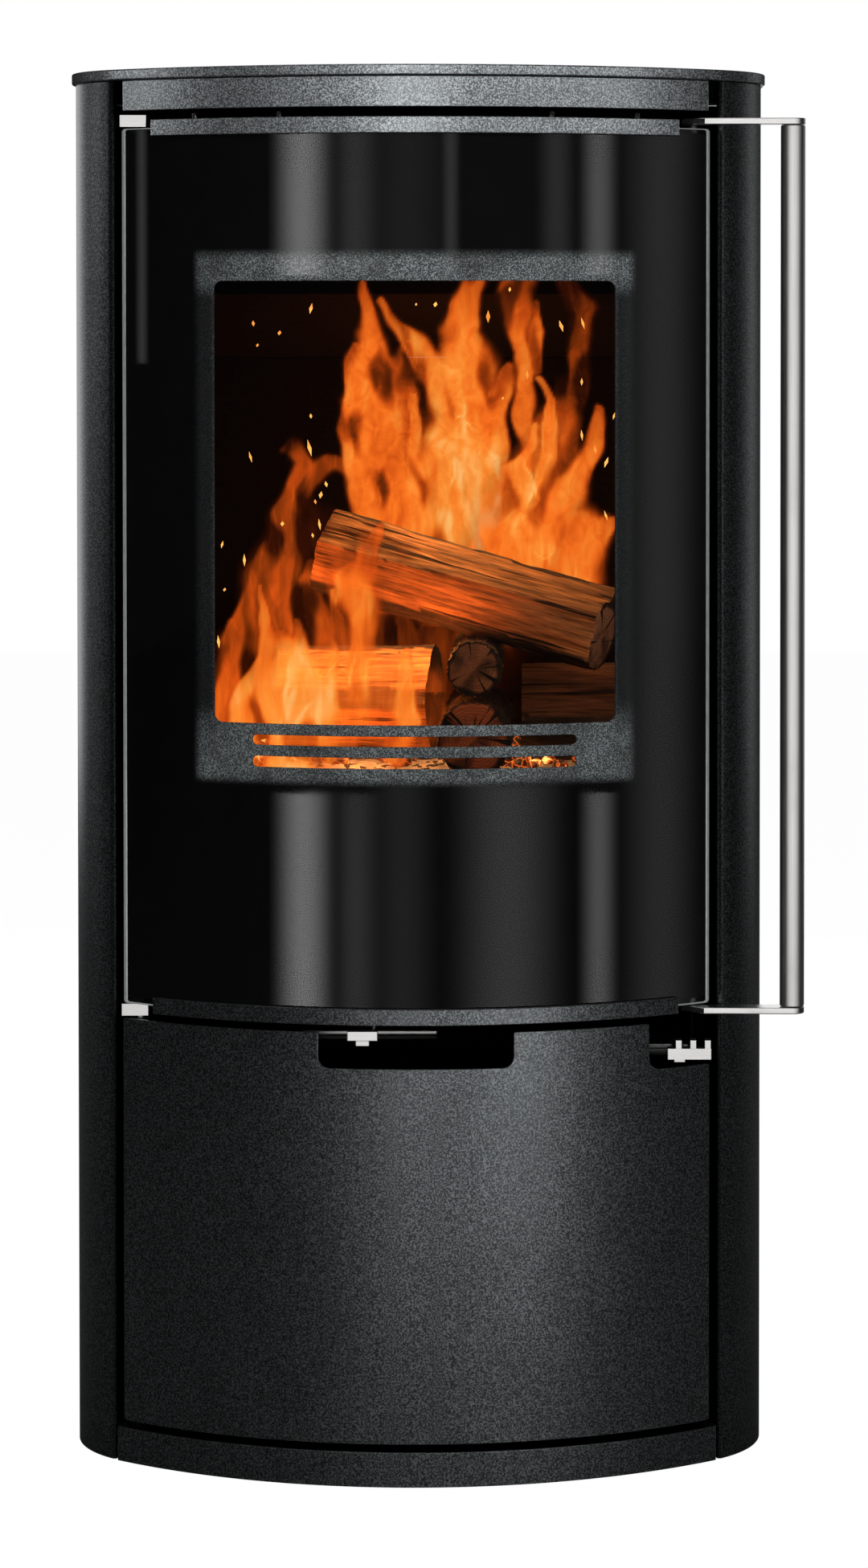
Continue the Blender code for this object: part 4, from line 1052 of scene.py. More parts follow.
def filleted(corners: Iterable[Triple], steps: int = 5) -> Loop:
    """Round the corners of a polygon.

    Args:
        corners: Its corners in order, each with its radius.
        steps: How many edges each rounding has.

    Returns:
        The rounded outline.
    """
    corners = list(corners)
    points: Loop = []
    for index, (x, y, radius) in enumerate(corners):
        here = Vector((x, y))
        before = (Vector(corners[index - 1][:2]) - here).normalized()
        after = (Vector(corners[(index + 1) % len(corners)][:2]) - here).normalized()
        half = before.angle(after) / 2
        if radius <= 0 or half > math.radians(89):
            points.append((x, y))
            continue
        centre = here + (before + after).normalized() * radius / math.sin(half)
        first = here + before * radius / math.tan(half) - centre
        last = here + after * radius / math.tan(half) - centre
        turn = first.angle_signed(last)
        for step in range(steps + 1):
            spoke = first.copy()
            spoke.rotate(Matrix.Rotation(-turn * step / steps, 2))
            points.append(tuple(centre + spoke))
    return points


def box_outline(left: float, low: float, right: float, high: float, corner: float) -> Loop:
    """Return a rectangle with rounded corners."""
    return filleted([(left, low, corner), (right, low, corner), (right, high, corner), (left, high, corner)])


def arc(centre: Point, radius: float, start: float, end: float, steps: int) -> Loop:
    """Return points on an arc, its angles in degrees from +X."""
    angles = [math.radians(start + (end - start) * step / steps) for step in range(steps + 1)]
    return [(centre[0] + radius * math.cos(a), centre[1] + radius * math.sin(a)) for a in angles]


def plate(name: str, outline: Loop, holes: Sequence[Loop], thickness: float, edge: float) -> Mesh:
    """Cut a flat plate with eased edges, its thickness centred on z = 0.

    Args:
        name: The mesh name.
        outline: Its outline.
        holes: The outlines of its holes.
        thickness: Its thickness.
        edge: The radius of its eased edges.

    Returns:
        The mesh, with its rim faces on the second material.
    """
    curve = bpy.data.curves.new(name, "CURVE")
    curve.dimensions = "2D"
    curve.fill_mode = "BOTH"
    curve.extrude = thickness / 2 - edge
    curve.bevel_depth = edge
    curve.bevel_resolution = 2
    curve.offset = -edge
    for loop in [outline, *holes]:
        spline = curve.splines.new("POLY")
        spline.points.add(len(loop) - 1)
        for point, (x, y) in zip(spline.points, loop):
            point.co = (x, y, 0.0, 1.0)
        spline.use_cyclic_u = True
    holder = placed(name, curve)
    mesh = bpy.data.meshes.new_from_object(holder.evaluated_get(bpy.context.evaluated_depsgraph_get()))
    mesh.name = name
    bpy.data.objects.remove(holder)
    bpy.data.curves.remove(curve)
    for face in welded(mesh, 1e-6).polygons:
        face.material_index = 0 if abs(face.normal.z) > 0.9 else 1
    return smoothed(mesh)


def upright_plate(name: str, outline: Loop, low: float, high: float, edge: float) -> Mesh:
    """Cut a level plate, or an upright body of one outline, between two heights.

    Args:
        name: The mesh name.
        outline: Its outline seen from above.
        low: Its lower height.
        high: Its upper height.
        edge: The radius of its eased edges.

    Returns:
        The mesh.
    """
    mesh = plate(name, outline, [], high - low, edge)
    mesh.transform(Matrix.Translation((0, 0, (high + low) / 2)))
    return mesh


def turned(name: str, profile: Loop, place: Matrix, sides: int = 48) -> Mesh:
    """Turn a profile about the z axis and put it in place.

    Args:
        name: The mesh name.
        profile: A closed section as pairs of radius and height; a radius of 0 closes on the axis.
        place: Where it goes.
        sides: How many sides it has.

    Returns:
        The mesh.
    """
    work = bmesh.new()
    rings = []
    for side in range(sides):
        angle = 2 * math.pi * side / sides
        rings.append([work.verts.new((r * math.cos(angle), r * math.sin(angle), z)) for r, z in profile])
    mesh = welded(closed_tube(name, work, rings, looped=True), 1e-7)
    mesh.transform(place)
    return smoothed(mesh)


def facing_back(x: float, y: float, z: float) -> Matrix:
    """Return a place at one spot whose z axis points to the back of the stove."""
    return Matrix.Translation((x, y, z)) @ Matrix.Rotation(-math.pi / 2, 4, "X")


def gathered(name: str, meshes: Iterable[Mesh]) -> Mesh:
    """Put several meshes into one.

    Args:
        name: The new mesh's name.
        meshes: The meshes, which are removed.

    Returns:
        The joined mesh.
    """
    work = bmesh.new()
    for mesh in meshes:
        work.from_mesh(mesh)
        bpy.data.meshes.remove(mesh)
    return drawn(name, work)


def placed(name: str, data: bpy.types.ID, spot: Triple = (0, 0, 0), turn: Triple = (0, 0, 0)) -> Piece:
    """Put new data in the scene.

    Args:
        name: The object's name.
        data: Its mesh, lamp or camera.
        spot: Where it stands.
        turn: Its turn about x, y and z, in radians.

    Returns:
        The object.
    """
    made = bpy.data.objects.new(name, data)
    made.location = spot
    made.rotation_euler = turn
    bpy.context.scene.collection.objects.link(made)
    return made


def fit(name: str, mesh: Mesh, body: Body, finishes: Sequence[Finish], stands_for: Sequence[str] = (),
        place: Matrix | None = None) -> Piece:
    """Fit one piece to the stove.

    Args:
        name: The piece's name.
        mesh: Its mesh.
        body: The body that it rides on.
        finishes: Its finishes, in the order of the mesh's material numbers.
        stands_for: The plain solids of the model that it replaces.
        place: Where the mesh's own axes lie, or the stove's.

    Returns:
        The fitted piece.
    """
    piece = placed(name, mesh)
    if place is not None:
        piece.matrix_world = place
    for finish in finishes:
        mesh.materials.append(finish.mix())
    if len(finishes) == 1:
        mesh.polygons.foreach_set("material_index", [0] * len(mesh.polygons))
    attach(piece, body.value)
    if stands_for:
        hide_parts(*stands_for)
    log.info("%s: %d faces, on %s", name, len(mesh.polygons), body.value)
    return piece


def even_shade(piece: Piece) -> Piece:
    """Let the large faces of a piece set its shading, so that flat faces read flat.

    Args:
        piece: The piece.

    Returns:
        The same piece.
    """
    modifier = piece.modifiers.new("even_shade", "WEIGHTED_NORMAL")
    modifier.keep_sharp = True
    modifier.weight = 80
    return piece


def dress(finish: Finish, edge: float, *nodes: str) -> None:
    """Give solids of the model their finish and ease their edges.

    Args:
        finish: The finish.
        edge: The width of the eased edges in metres, or 0 to leave them sharp.
        *nodes: The names of the solids.
    """
    for name in nodes:
        piece = frame["nodes"][name]
        for slot in piece.material_slots:
            slot.link = "OBJECT"
            slot.material = finish.mix()
        if edge:
            weld = piece.modifiers.new("weld", "WELD")
            weld.merge_threshold = 0.00001
            ease = piece.modifiers.new("eased_edges", "BEVEL")
            ease.width = edge
            ease.segments = 2
            ease.limit_method = "ANGLE"
            ease.angle_limit = math.radians(40)
            ease.use_clamp_overlap = True
            even_shade(piece)
        log.info("%s: finished in %s", name, finish.name)


# The casing


@dataclass
class Casing:
    """The painted outer casing: side panels, top, fascia, plinth and back."""

    half_width: float = 0.2575
    corner_radius: float = 0.088
    corner: Point = (0.1695, -0.07267)
    rear: float = 0.214
    rear_radius: float = 0.020
    sheet: float = 0.0025
    front_edge: float = 0.222
    fold: float = 0.018
    rear_seam: float = 0.225
    low: float = GAP
    under_top: float = 1.0211
    top_low: float = 1.0214
    top_high: float = 1.0294
    overhang: float = 0.003
    cover_radius: float = 0.125
    cover_high: float = 1.0322
    fascia_low: float = 0.999
    fascia_half_width: float = 0.215
    plinth_high: float = 0.0255
    bowed_sheet: float = 0.002
    screw_x: float = 0.212
    screw_heights: tuple[float, ...] = (0.045, 0.28, 0.52, 0.76, 0.985)

    def build(self) -> None:
        """Build and dress the whole casing."""
        for side in Side:
            self.side_panel(side)
        self.top()
        self.bowed_strips()
        self.back()
        # The base plate and the store floor take the darker copy of the casing paint, as painted shade.
        dress(SHADED_CASING, 0.0004, "base_plate", "store_floor")

    def side_panel(self, side: Side) -> None:
        """Fold one side panel round its corner.

        Args:
            side: The side of the casing.
        """
        radius = self.corner_radius - self.sheet / 2
        face = self.front_edge + self.sheet / 2
        start = -math.degrees(math.acos((face - self.corner[0]) / radius))
        bend = arc(self.corner, radius, start, 0.0, 18)
        rear_corner = (self.half_width - self.rear_radius, self.rear - self.rear_radius)
        rear_bend = arc(rear_corner, self.rear_radius - self.sheet / 2, 0.0, 90.0, 8)
        path = [(face, bend[0][1] + self.fold, 0.0), (face, bend[0][1], 0.0013)]
        path += [(x, y, 0.0) for x, y in bend[1:] + rear_bend]
        path.append((self.rear_seam, self.rear - self.sheet / 2, 0.0))
        centre_line = [(x * side.value, y) for x, y in filleted(path)]
        outline = thickened(centre_line, self.sheet)
        mesh = upright_plate("side_panel", outline, self.low, self.under_top, 0.0004)
        name = f"{side.name.lower()}_side_panel"
        even_shade(fit(name + "_skin", mesh, Body.STOVE, [CASING], [name]))

    def outline(self, overhang: float) -> Loop:
        """Return the casing's outline from above, grown by overhang.

        Args:
            overhang: How far it stands out past the casing, in metres.

        Returns:
            The outline.
        """
        tangent = math.degrees(math.asin(self.corner[0] / (BOW.radius - self.corner_radius)))
        right = arc(self.corner, self.corner_radius + overhang, tangent - 90, 0, 20)
        right += arc((self.half_width - self.rear_radius, self.rear - self.rear_radius),
                     self.rear_radius + overhang, 0, 90, 8)
        left = [(-x, y) for x, y in reversed(right)]
        front = arc((0.0, BOW.centre_y), BOW.radius + overhang, -90 - tangent, tangent - 90, 60)
        return front[1:-1] + right + left

    def top(self) -> None:
        """Build the top plate and the flat cover that lies on it."""
        outline = self.outline(self.overhang)
        mesh = upright_plate("top_plate", outline, self.top_low, self.top_high, 0.0012)
        even_shade(fit("top_plate_slab", mesh, Body.STOVE, [CASING], ["top_plate"]))
        low = self.top_high + GAP
        radius, high = self.cover_radius, self.cover_high
        profile = [(0.0, low), (radius - 0.0008, low), (radius, low + 0.0006), (radius, high - 0.0010),
                   (radius - 0.0004, high - 0.0003), (radius - 0.0012, high), (0.0, high)]
        cover = turned("top_cover", profile, Matrix(), 96)
        even_shade(fit("top_cover_disc", cover, Body.STOVE, [CASING], ["top_cover"]))

    def bowed_strips(self) -> None:
        """Roll the fascia above the door and the plinth below it."""
        strips = (("fascia", self.fascia_low, self.under_top, self.fascia_half_width),
                  ("plinth_front", 0.0, self.plinth_high, self.rear_seam - 0.0033))
        for name, low, high, half in strips:
            section = box_outline(0.0, low, self.bowed_sheet, high, 0.0006)
            even_shade(fit(name + "_strip", BOW.sweep(name, section, half), Body.STOVE, [CASING], [name]))

    def back(self) -> None:
        """Dress the back plate and screw it down along its sides."""
        dress(CASING, 0.0004, "rear_panel")
        head = [(0.0, 0.0), (0.0044, 0.0), (0.0046, 0.0006), (0.0040, 0.0013), (0.0030, 0.0018),
                (0.0014, 0.0020), (0.0012, 0.0010), (0.0, 0.0010)]
        heads = [turned("head", head, facing_back(x, self.rear, z), 20)
                 for x in (-self.screw_x, self.screw_x) for z in self.screw_heights]
        fit("back_screws", gathered("back_screws", heads), Body.STOVE, [ROLLED_STEEL])
        for side in Side:
            self.seam_strip(side)

    def seam_strip(self, side: Side) -> None:
        """Lay a narrow strip behind a rear seam, so that no light shows through it.

        Args:
            side: The side of the casing.
        """
        near, far = self.rear_seam - 0.0025, self.half_width - self.rear_radius
        section = box_outline(near, self.rear - 0.0042, far, self.rear - 0.0027, 0.0004)
        outline = [(x * side.value, y) for x, y in section]
        mesh = upright_plate("seam_strip", outline, self.low + GAP, self.under_top - 0.001, 0.0003)
        # The strip takes the darker copy of the casing paint, as painted shade.
        fit(f"{side.name.lower()}_seam_strip", mesh, Body.STOVE, [SHADED_CASING])


def thickened(path: Loop, thickness: float) -> Loop:
    """Give a line a thickness.

    Args:
        path: The points of its middle line.
        thickness: The whole thickness.

    Returns:
        The closed outline.
    """
    sides: tuple[Loop, Loop] = ([], [])
    for index, (x, y) in enumerate(path):
        before = Vector(path[max(index - 1, 0)])
        after = Vector(path[min(index + 1, len(path) - 1)])
        along = (after - before).normalized()
        for side, sign in zip(sides, (1, -1)):
            side.append((x - along.y * sign * thickness / 2, y + along.x * sign * thickness / 2))
    return sides[0] + sides[1][::-1]


# Firebox and body


@dataclass
class FireboxBody:
    """The welded body behind the door, its lining, grate, flue collar and air boxes."""

    collar_centre: float = 0.885
    collar_bore: float = 0.072
    collar_front: float = 0.1543
    collar_rear: float = 0.214
    collar_wall: float = 0.003

    def build(self) -> None:
        """Dress the body's solids and build the flue collar."""
        dress(SOOTY_STEEL, 0.0005, "front_frame", "left_wall", "right_wall", "rear_wall", "hearth_plate",
              "firebox_top")
        dress(BLACK_STEEL, 0.0004, "ash_shelf", "ash_pan", "air_box", "primary_duct")
        dress(BOARD, 0.0012, "left_brick", "right_brick", "rear_brick", "baffle")
        dress(IRON, 0.0005, "grate")
        dress(ROLLED_STEEL, 0.0004, "upper_keeper", "lower_keeper")
        dress(FLAT_STEEL, 0.0009, "upper_door_hinge", "lower_door_hinge")
        dress(BLACK_STEEL, 0.0004, "store_hinge_pin")
        self.collar()

    def collar(self) -> None:
        """Turn the flue collar with its rolled rim."""
        inner, outer = self.collar_bore, self.collar_bore + self.collar_wall
        length = self.collar_rear - self.collar_front
        profile = [(inner, 0.0004), (inner + 0.0004, 0.0), (outer - 0.0006, 0.0), (outer, 0.0006),
                   (outer, length * 0.45), (outer - 0.0008, length * 0.47), (outer - 0.0008, length * 0.53),
                   (outer, length * 0.55), (outer, length - 0.0012), (outer - 0.0005, length - 0.0003),
                   (outer - 0.0015, length), (inner + 0.0008, length - 0.0003), (inner, length - 0.0012)]
        mesh = turned("flue_collar", profile, facing_back(0.0, self.collar_front, self.collar_centre), 96)
        even_shade(fit("flue_collar_ring", mesh, Body.STOVE, [ROLLED_STEEL], ["flue_collar"]))


# The two doors


@dataclass
class GlassDoor:
    """The bowed glass door with its panel, rails, seal and small fittings."""

    half_width: float = 0.2166
    low: float = 0.341
    high: float = 0.986
    glass_inset: float = 0.002
    glass: float = 0.004
    panel_inset: float = 0.0063
    panel: float = 0.002
    panel_half_width: float = 0.214
    panel_low: float = 0.345
    panel_high: float = 0.982
    window: tuple[float, float, float] = (0.1465, 0.5526, 0.874)
    window_corner: float = 0.006
    slots: tuple[Point, ...] = ((0.521, 0.529), (0.537, 0.5445))
    slot_half_width: float = 0.118
    rail_half_width: float = 0.192
    rail_proud: float = 0.002
    rail_back: float = 0.0086
    rail_height: float = 0.012
    screw_xs: tuple[float, ...] = (-0.160, -0.097, 0.100, 0.162)
    seal_inset: float = 0.0383
    seal: float = 0.0064
    seal_box: tuple[float, float, float] = (0.175, 0.365, 0.965)
    seal_width: float = 0.012

    def build(self) -> None:
        """Build and dress the door."""
        self.pane()
        self.black_panel()
        self.rails()
        self.screws()
        self.rope()
        dress(BLACK_STEEL, 0.0006, "door_frame", "upper_hinge_eye", "lower_hinge_eye", "upper_shaft_bearing",
              "lower_shaft_bearing")

    def pane(self) -> None:
        """Roll the clear pane with its polished rim."""
        outline = box_outline(-self.half_width, self.low, self.half_width, self.high, 0.0025)
        mesh = BOW.bend(plate("pane", outline, [], self.glass, 0.0012), self.glass_inset, self.glass)
        even_shade(fit("glass_pane", mesh, Body.DOOR, [PANE, PANE_RIM], ["door_glass"]))

    def black_panel(self) -> None:
        """Roll the painted panel with its window and its two slots."""
        side = self.panel_half_width
        outline = box_outline(-side, self.panel_low, side, self.panel_high, 0.002)
        half, low, high = self.window
        holes = [box_outline(-half, low, half, high, self.window_corner)]
        for slot_low, slot_high in self.slots:
            holes.append(box_outline(-self.slot_half_width, slot_low, self.slot_half_width, slot_high,
                                     (slot_high - slot_low) / 2 - 0.0003))
        mesh = BOW.bend(plate("panel", outline, holes, self.panel, 0.0004), self.panel_inset, self.panel)
        even_shade(fit("window_panel", mesh, Body.DOOR, [PANEL], ["door_panel"]))

    def rails(self) -> None:
        """Roll the two rails that hook over the upper and lower edge of the glass."""
        face, hook, back = -self.rail_proud, self.glass_inset - GAP, self.rail_back
        ease = 0.0007
        for name, edge, lip, way in (("top_rail", self.high, 0.006, 1), ("bottom_rail", self.low, 0.007, -1)):
            near = edge - way * lip
            far = near + way * self.rail_height
            rebate = edge + way * GAP
            corners = [(face, near, ease), (hook, near, ease / 2), (hook, rebate, 0.0),
                       (back, rebate, ease / 2), (back, far, ease), (face, far, ease)]
            mesh = BOW.sweep(name, filleted(corners[::way], 3), self.rail_half_width)
            even_shade(fit(name + "_strip", mesh, Body.DOOR, [CASING], [name]))

    def screws(self) -> None:
        """Turn the four small screws that stand on the top rail."""
        profile = [(0.0, 0.0), (0.0019, 0.0), (0.0019, 0.0012), (0.0020, 0.0015), (0.0020, 0.0033),
                   (0.0016, 0.0038), (0.0008, 0.0040), (0.0006, 0.0028), (0.0, 0.0028)]
        low = self.high + 0.0063
        for number, x in enumerate(self.screw_xs, start=1):
            y = BOW.y((self.rail_back - self.rail_proud) / 2, x)
            mesh = turned("rail_screw", profile, Matrix.Translation((x, y, low)), 20)
            fit(f"rail_screw_{number}_turned", mesh, Body.DOOR, [FLAT_STEEL], [f"rail_screw_{number}"])

    def rope(self) -> None:
        """Lay the braided rope in its oblong loop behind the door frame."""
        half, low, high = self.seal_box
        width = self.seal_width
        outer = box_outline(-half, low, half, high, 0.016)
        inner = box_outline(width - half, low + width, half - width, high - width, 0.006)
        mesh = plate("rope", outer, [inner], self.seal, self.seal * 0.46)
        mesh = BOW.bend(mesh, self.seal_inset, self.seal)
        fit("door_rope", mesh, Body.DOOR, [ROPE], ["door_seal"])


@dataclass
class StoreDoor:
    """The bowed lower door with a notch for each lever."""

    half_width: float = 0.2166
    low: float = 0.0313
    high: float = 0.3303
    sheet: float = 0.0025
    centre_notch: tuple[float, float, float] = (-0.0694, 0.0723, 0.026)
    right_notch: Point = (0.1716, 0.034)
    notch_corner: float = 0.008
    liner_half_width: float = 0.165
    liner_span: Point = (0.045, 0.28945)
    liner_inset: float = 0.0028
    liner: float = 0.0015

    def build(self) -> None:
        """Build and dress the door."""
        self.skin()
        self.backing()
        dress(BLACK_STEEL, 0.0006, "store_upper_eye", "store_lower_eye")

    def skin(self) -> None:
        """Roll the notched skin."""
        left, right, depth = self.centre_notch
        start, side_depth = self.right_notch
        half, high, small, large = self.half_width, self.high, 0.0015, self.notch_corner
        outline = filleted([(-half, self.low, 0.002), (half, self.low, 0.002),
                            (half, high - side_depth, small), (start, high - side_depth, large),
                            (start, high, small), (right, high, small), (right, high - depth, large),
                            (left, high - depth, large), (left, high, small), (-half, high, 0.002)])
        mesh = BOW.bend(plate("store_skin", outline, [], self.sheet, 0.0005), 0.0, self.sheet)
        even_shade(fit("store_door_front", mesh, Body.STORE_DOOR, [CASING], ["store_door_skin"]))

    def backing(self) -> None:
        """Roll the stiffening sheet behind the skin."""
        low, high = self.liner_span
        outline = box_outline(-self.liner_half_width, low, self.liner_half_width, high, 0.006)
        box_low, box_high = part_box("store_door_liner")
        mesh = BOW.bend(plate("liner", outline, [], self.liner, 0.0003), self.liner_inset, self.liner)
        log.info("store door liner lies between y %.4f and %.4f", box_low.y, box_high.y)
        even_shade(fit("store_door_backing", mesh, Body.STORE_DOOR, [BLACK_STEEL], ["store_door_liner"]))


@dataclass
class LongHandle:
    """The long upright bar with its two flat arms and the latch shaft."""

    x: float = 0.277
    y: float = -0.152
    radius: float = 0.009
    low: float = 0.3400
    high: float = 0.9885
    arms: tuple[Point, ...] = ((0.3350, 0.3397), (0.9888, 0.9935))
    shaft: Point = (0.204, -0.135)
    lobe: float = 0.008

    def build(self) -> None:
        """Build the bar and its arms, and dress the latch shaft."""
        radius, low, high = self.radius, self.low, self.high
        profile = [(0.0, low), (radius - 0.0010, low), (radius - 0.0003, low + 0.0004),
                   (radius, low + 0.0011), (radius, high - 0.0011), (radius - 0.0003, high - 0.0004),
                   (radius - 0.0010, high), (0.0, high)]
        bar = turned("bar", profile, Matrix.Translation((self.x, self.y, 0.0)), 64)
        even_shade(fit("long_bar", bar, Body.HANDLE, [BAR_STEEL], ["handle_bar"]))
        for name, (arm_low, arm_high) in zip(("lower_handle_arm", "upper_handle_arm"), self.arms):
            mesh = upright_plate(name, self.arm_outline(), arm_low, arm_high, 0.0007)
            even_shade(fit(name + "_flat", mesh, Body.HANDLE, [FLAT_STEEL], [name]))
        dress(ROLLED_STEEL, 0.0004, "latch_shaft")

    def arm_outline(self) -> Loop:
        """Return an arm's outline from above, from the bar round to the shaft.

        Returns:
            The outline.
        """
        shaft_x, shaft_y = self.shaft
        near, far = self.y + 0.007, self.y - 0.007
        points = arc((self.x, self.y), self.radius, -90, 90, 14)
        points += [(shaft_x + self.lobe * 2, near), (shaft_x + self.lobe, near)]
        points += arc(self.shaft, self.lobe, 0, 180, 14)
        points += [(shaft_x - self.lobe, near), (shaft_x + self.lobe, far)]
        return points


@dataclass
class Levers:
    """The centre air lever and the ridged lever at the right."""

    ease: float = 0.0006

    def build(self) -> None:
        """Dress both levers."""
        dress(FLAT_STEEL, self.ease, "air_lever", "primary_lever")


# The fire


@dataclass(frozen=True)
class Billet:
    """One log: a round or split billet, drawn along its own x axis."""

    name: str
    start: Triple
    end: Triple
    radius: float
    flats: tuple[Point, ...]
    seed: int
    char: tuple[float, float, float]
    wood: FireWood
    cut: EndGrain
    slant: float = 0.0
    slices: int = 64
    sides: int = 84

    def place(self) -> Matrix:
        """Return the log's own axes: x along it and z as near upright as it can be.

        Returns:
            The axes and where they start.
        """
        along = (Vector(self.end) - Vector(self.start)).normalized()
        across = Vector((0, 0, 1)).cross(along).normalized()
        up = along.cross(across)
        return Matrix.Translation(self.start) @ Matrix((along, across, up)).transposed().to_4x4()

    def reach(self, angle: float, x: float) -> Point:
        """Return how far the surface is from the axis.

        Args:
            angle: The direction round the axis.
            x: The place along the log.

        Returns:
            The distance, and 1 on bark or 0 on a split face.
        """
        seed = self.seed * 7.3
        lump = noise.noise(Vector((math.cos(angle) * 1.3, math.sin(angle) * 1.3, x * 14 + seed)))
        furrow = abs(noise.noise(Vector((math.cos(angle) * 9, math.sin(angle) * 9, x * 24 + seed))))
        radius = self.radius * (0.965 + 0.03 * lump) - 0.0022 * (1 - furrow * 1.6) ** 2
        bark = 1.0
        for direction, share in self.flats:
            turn = angle - math.radians(direction)
            if math.cos(turn) < 0.08:
                continue
            limit = share * self.radius / math.cos(turn)
            across = limit * math.sin(turn)
            steps = noise.noise(Vector((x * 7, across * 110, seed)))
            fibres = noise.noise(Vector((x * 11, across * 420, seed + 5)))
            splinter = abs(noise.noise(Vector((x * 18, across * 60, seed + 9))))
            limit -= 0.0034 * (0.5 + steps) + 0.0014 * fibres + 0.0026 * splinter
            if limit < radius:
                radius, bark = limit, 0.0
        return max(radius, self.radius * 0.15), bark

    def end_shift(self, angle: float, share: float, which: int) -> float:
        """Return how far the end face is worn back at one spot.

        Args:
            angle: The direction round the axis.
            share: The distance from the axis as a share of the radius.
            which: A number for the end, so that each wears its own way.

        Returns:
            The distance in metres.
        """
        seed = self.seed * 3.1 + which * 11
        spot = Vector((math.cos(angle) * share * 2.2, math.sin(angle) * share * 2.2, seed))
        return 0.0009 * (1 + noise.noise(spot)) + 0.0012 * share ** 6

    def build(self, stands_for: str) -> None:
        """Draw the log and lay it in the fire.

        Args:
            stands_for: The plain solid that it replaces.
        """
        length = (Vector(self.end) - Vector(self.start)).length
        work = bmesh.new()
        layers = tuple(work.verts.layers.float.new(mark) for mark in ("bark", "char"))
        rings = []
        for step in range(self.slices + 1):
            ring = []
            for side in range(self.sides):
                angle = 2 * math.pi * side / self.sides
                x = length * step / self.slices
                radius, bark = self.reach(angle, x)
                x += self.slant * radius * math.cos(angle) * step / self.slices
                if step in (0, self.slices):
                    worn = self.end_shift(angle, 1.0, step)
                    x += worn if step == 0 else -worn
                    radius -= 0.0008
                marks = (bark, self.charred(step / self.slices, angle))
                ring.append(self.point(work, (x, radius, angle), marks, layers))
            rings.append(ring)
        for first, second in zip(rings, rings[1:]):
            lap(work, first, second)
        for which, ring in ((0, rings[0]), (1, rings[-1])):
            self.close_end(work, ring, which, length, layers)
        bmesh.ops.recalc_face_normals(work, faces=work.faces)
        mesh = drawn(self.name, work, 50.0)
        fit(self.name, mesh, Body.STOVE, [self.wood, self.cut], [stands_for], self.place())

    def charred(self, share: float, angle: float) -> float:
        """Return how burnt the log is at a share of its length.

        Args:
            share: The place as a share of the length.
            angle: The direction round the axis.

        Returns:
            0 on clean wood and about 1 on char.
        """
        first, middle, last = self.char
        ends = first if share < 0.5 else last
        return ends + (middle - ends) * (1 - abs(2 * share - 1)) + 0.12 * math.sin(angle * 2 + self.seed)

    def point(self, work: Points, spot: Triple, marks: Point, layers: Sequence) -> Vert:
        """Add one marked point.

        Args:
            work: The mesh being drawn.
            spot: Its x, its distance from the axis and its angle.
            marks: The values of its two marks.
            layers: The layers that hold them.

        Returns:
            The point.
        """
        x, radius, angle = spot
        vert = work.verts.new((x, radius * math.cos(angle), radius * math.sin(angle)))
        for layer, value in zip(layers, marks):
            vert[layer] = value
        return vert

    def close_end(self, work: Points, ring: list[Vert], which: int, length: float, layers: Sequence) -> None:
        """Close one end with rings that shrink to its middle.

        Args:
            work: The mesh being drawn.
            ring: The outermost ring of that end.
            which: 0 for the start, 1 for the end.
            length: The log's length.
            layers: The layers of the two marks.
        """
        outer = ring
        marks = (0.0, self.char[0 if which == 0 else 2])
        for share in (0.9, 0.7, 0.48, 0.26, 0.10):
            inner = []
            for edge in ring:
                angle = math.atan2(edge.co.z, edge.co.y)
                worn = self.end_shift(angle, share, which * self.slices)
                radius = math.hypot(edge.co.y, edge.co.z) * share
                x = length - worn + self.slant * radius * math.cos(angle) if which else worn
                inner.append(self.point(work, (x, radius, angle), marks, layers))
            lap(work, outer, inner, 1)
            outer = inner
        work.faces.new(outer).material_index = 1


class Layer(Enum):
    """The curtains of flame: depth at its foot and at its tip, and the heights of both, in metres."""

    BACK = (0.032, 0.030, 0.50, 0.76)
    MAIN = (0.016, -0.104, 0.655, 0.880)
    RIGHT = (-0.006, -0.078, 0.640, 0.810)
    FRONT = (-0.092, -0.098, 0.50, 0.70)


@dataclass(frozen=True)
class Tongue:
    """One tongue of flame.

    Its points are x, height and half its width, in millimetres, from its foot to its tip.
    """

    layer: Layer
    heat: float
    cover: float
    points: tuple[Triple, ...]

    def nearness(self, x: float, z: float) -> Point:
        """Return how far a point is from the middle line, in half widths, and how far up that is.

        Args:
            x: The point's x in millimetres.
            z: Its height in millimetres.

        Returns:
            The distance, 1 at the tongue's side, and the share of the line below it.
        """
        best, share = 9.0, 0.0
        last = len(self.points) - 1
        for index, ((ax, az, ah), (bx, bz, bh)) in enumerate(zip(self.points, self.points[1:])):
            along_x, along_z = bx - ax, bz - az
            t = ((x - ax) * along_x + (z - az) * along_z) / (along_x ** 2 + along_z ** 2)
            t = min(1.0, max(0.0, t))
            half = max(ah + (bh - ah) * t, 2.0)
            away = math.hypot(x - ax - along_x * t, z - az - along_z * t) / half
            if away < best:
                best, share = away, (index + t) / last
        return best, share


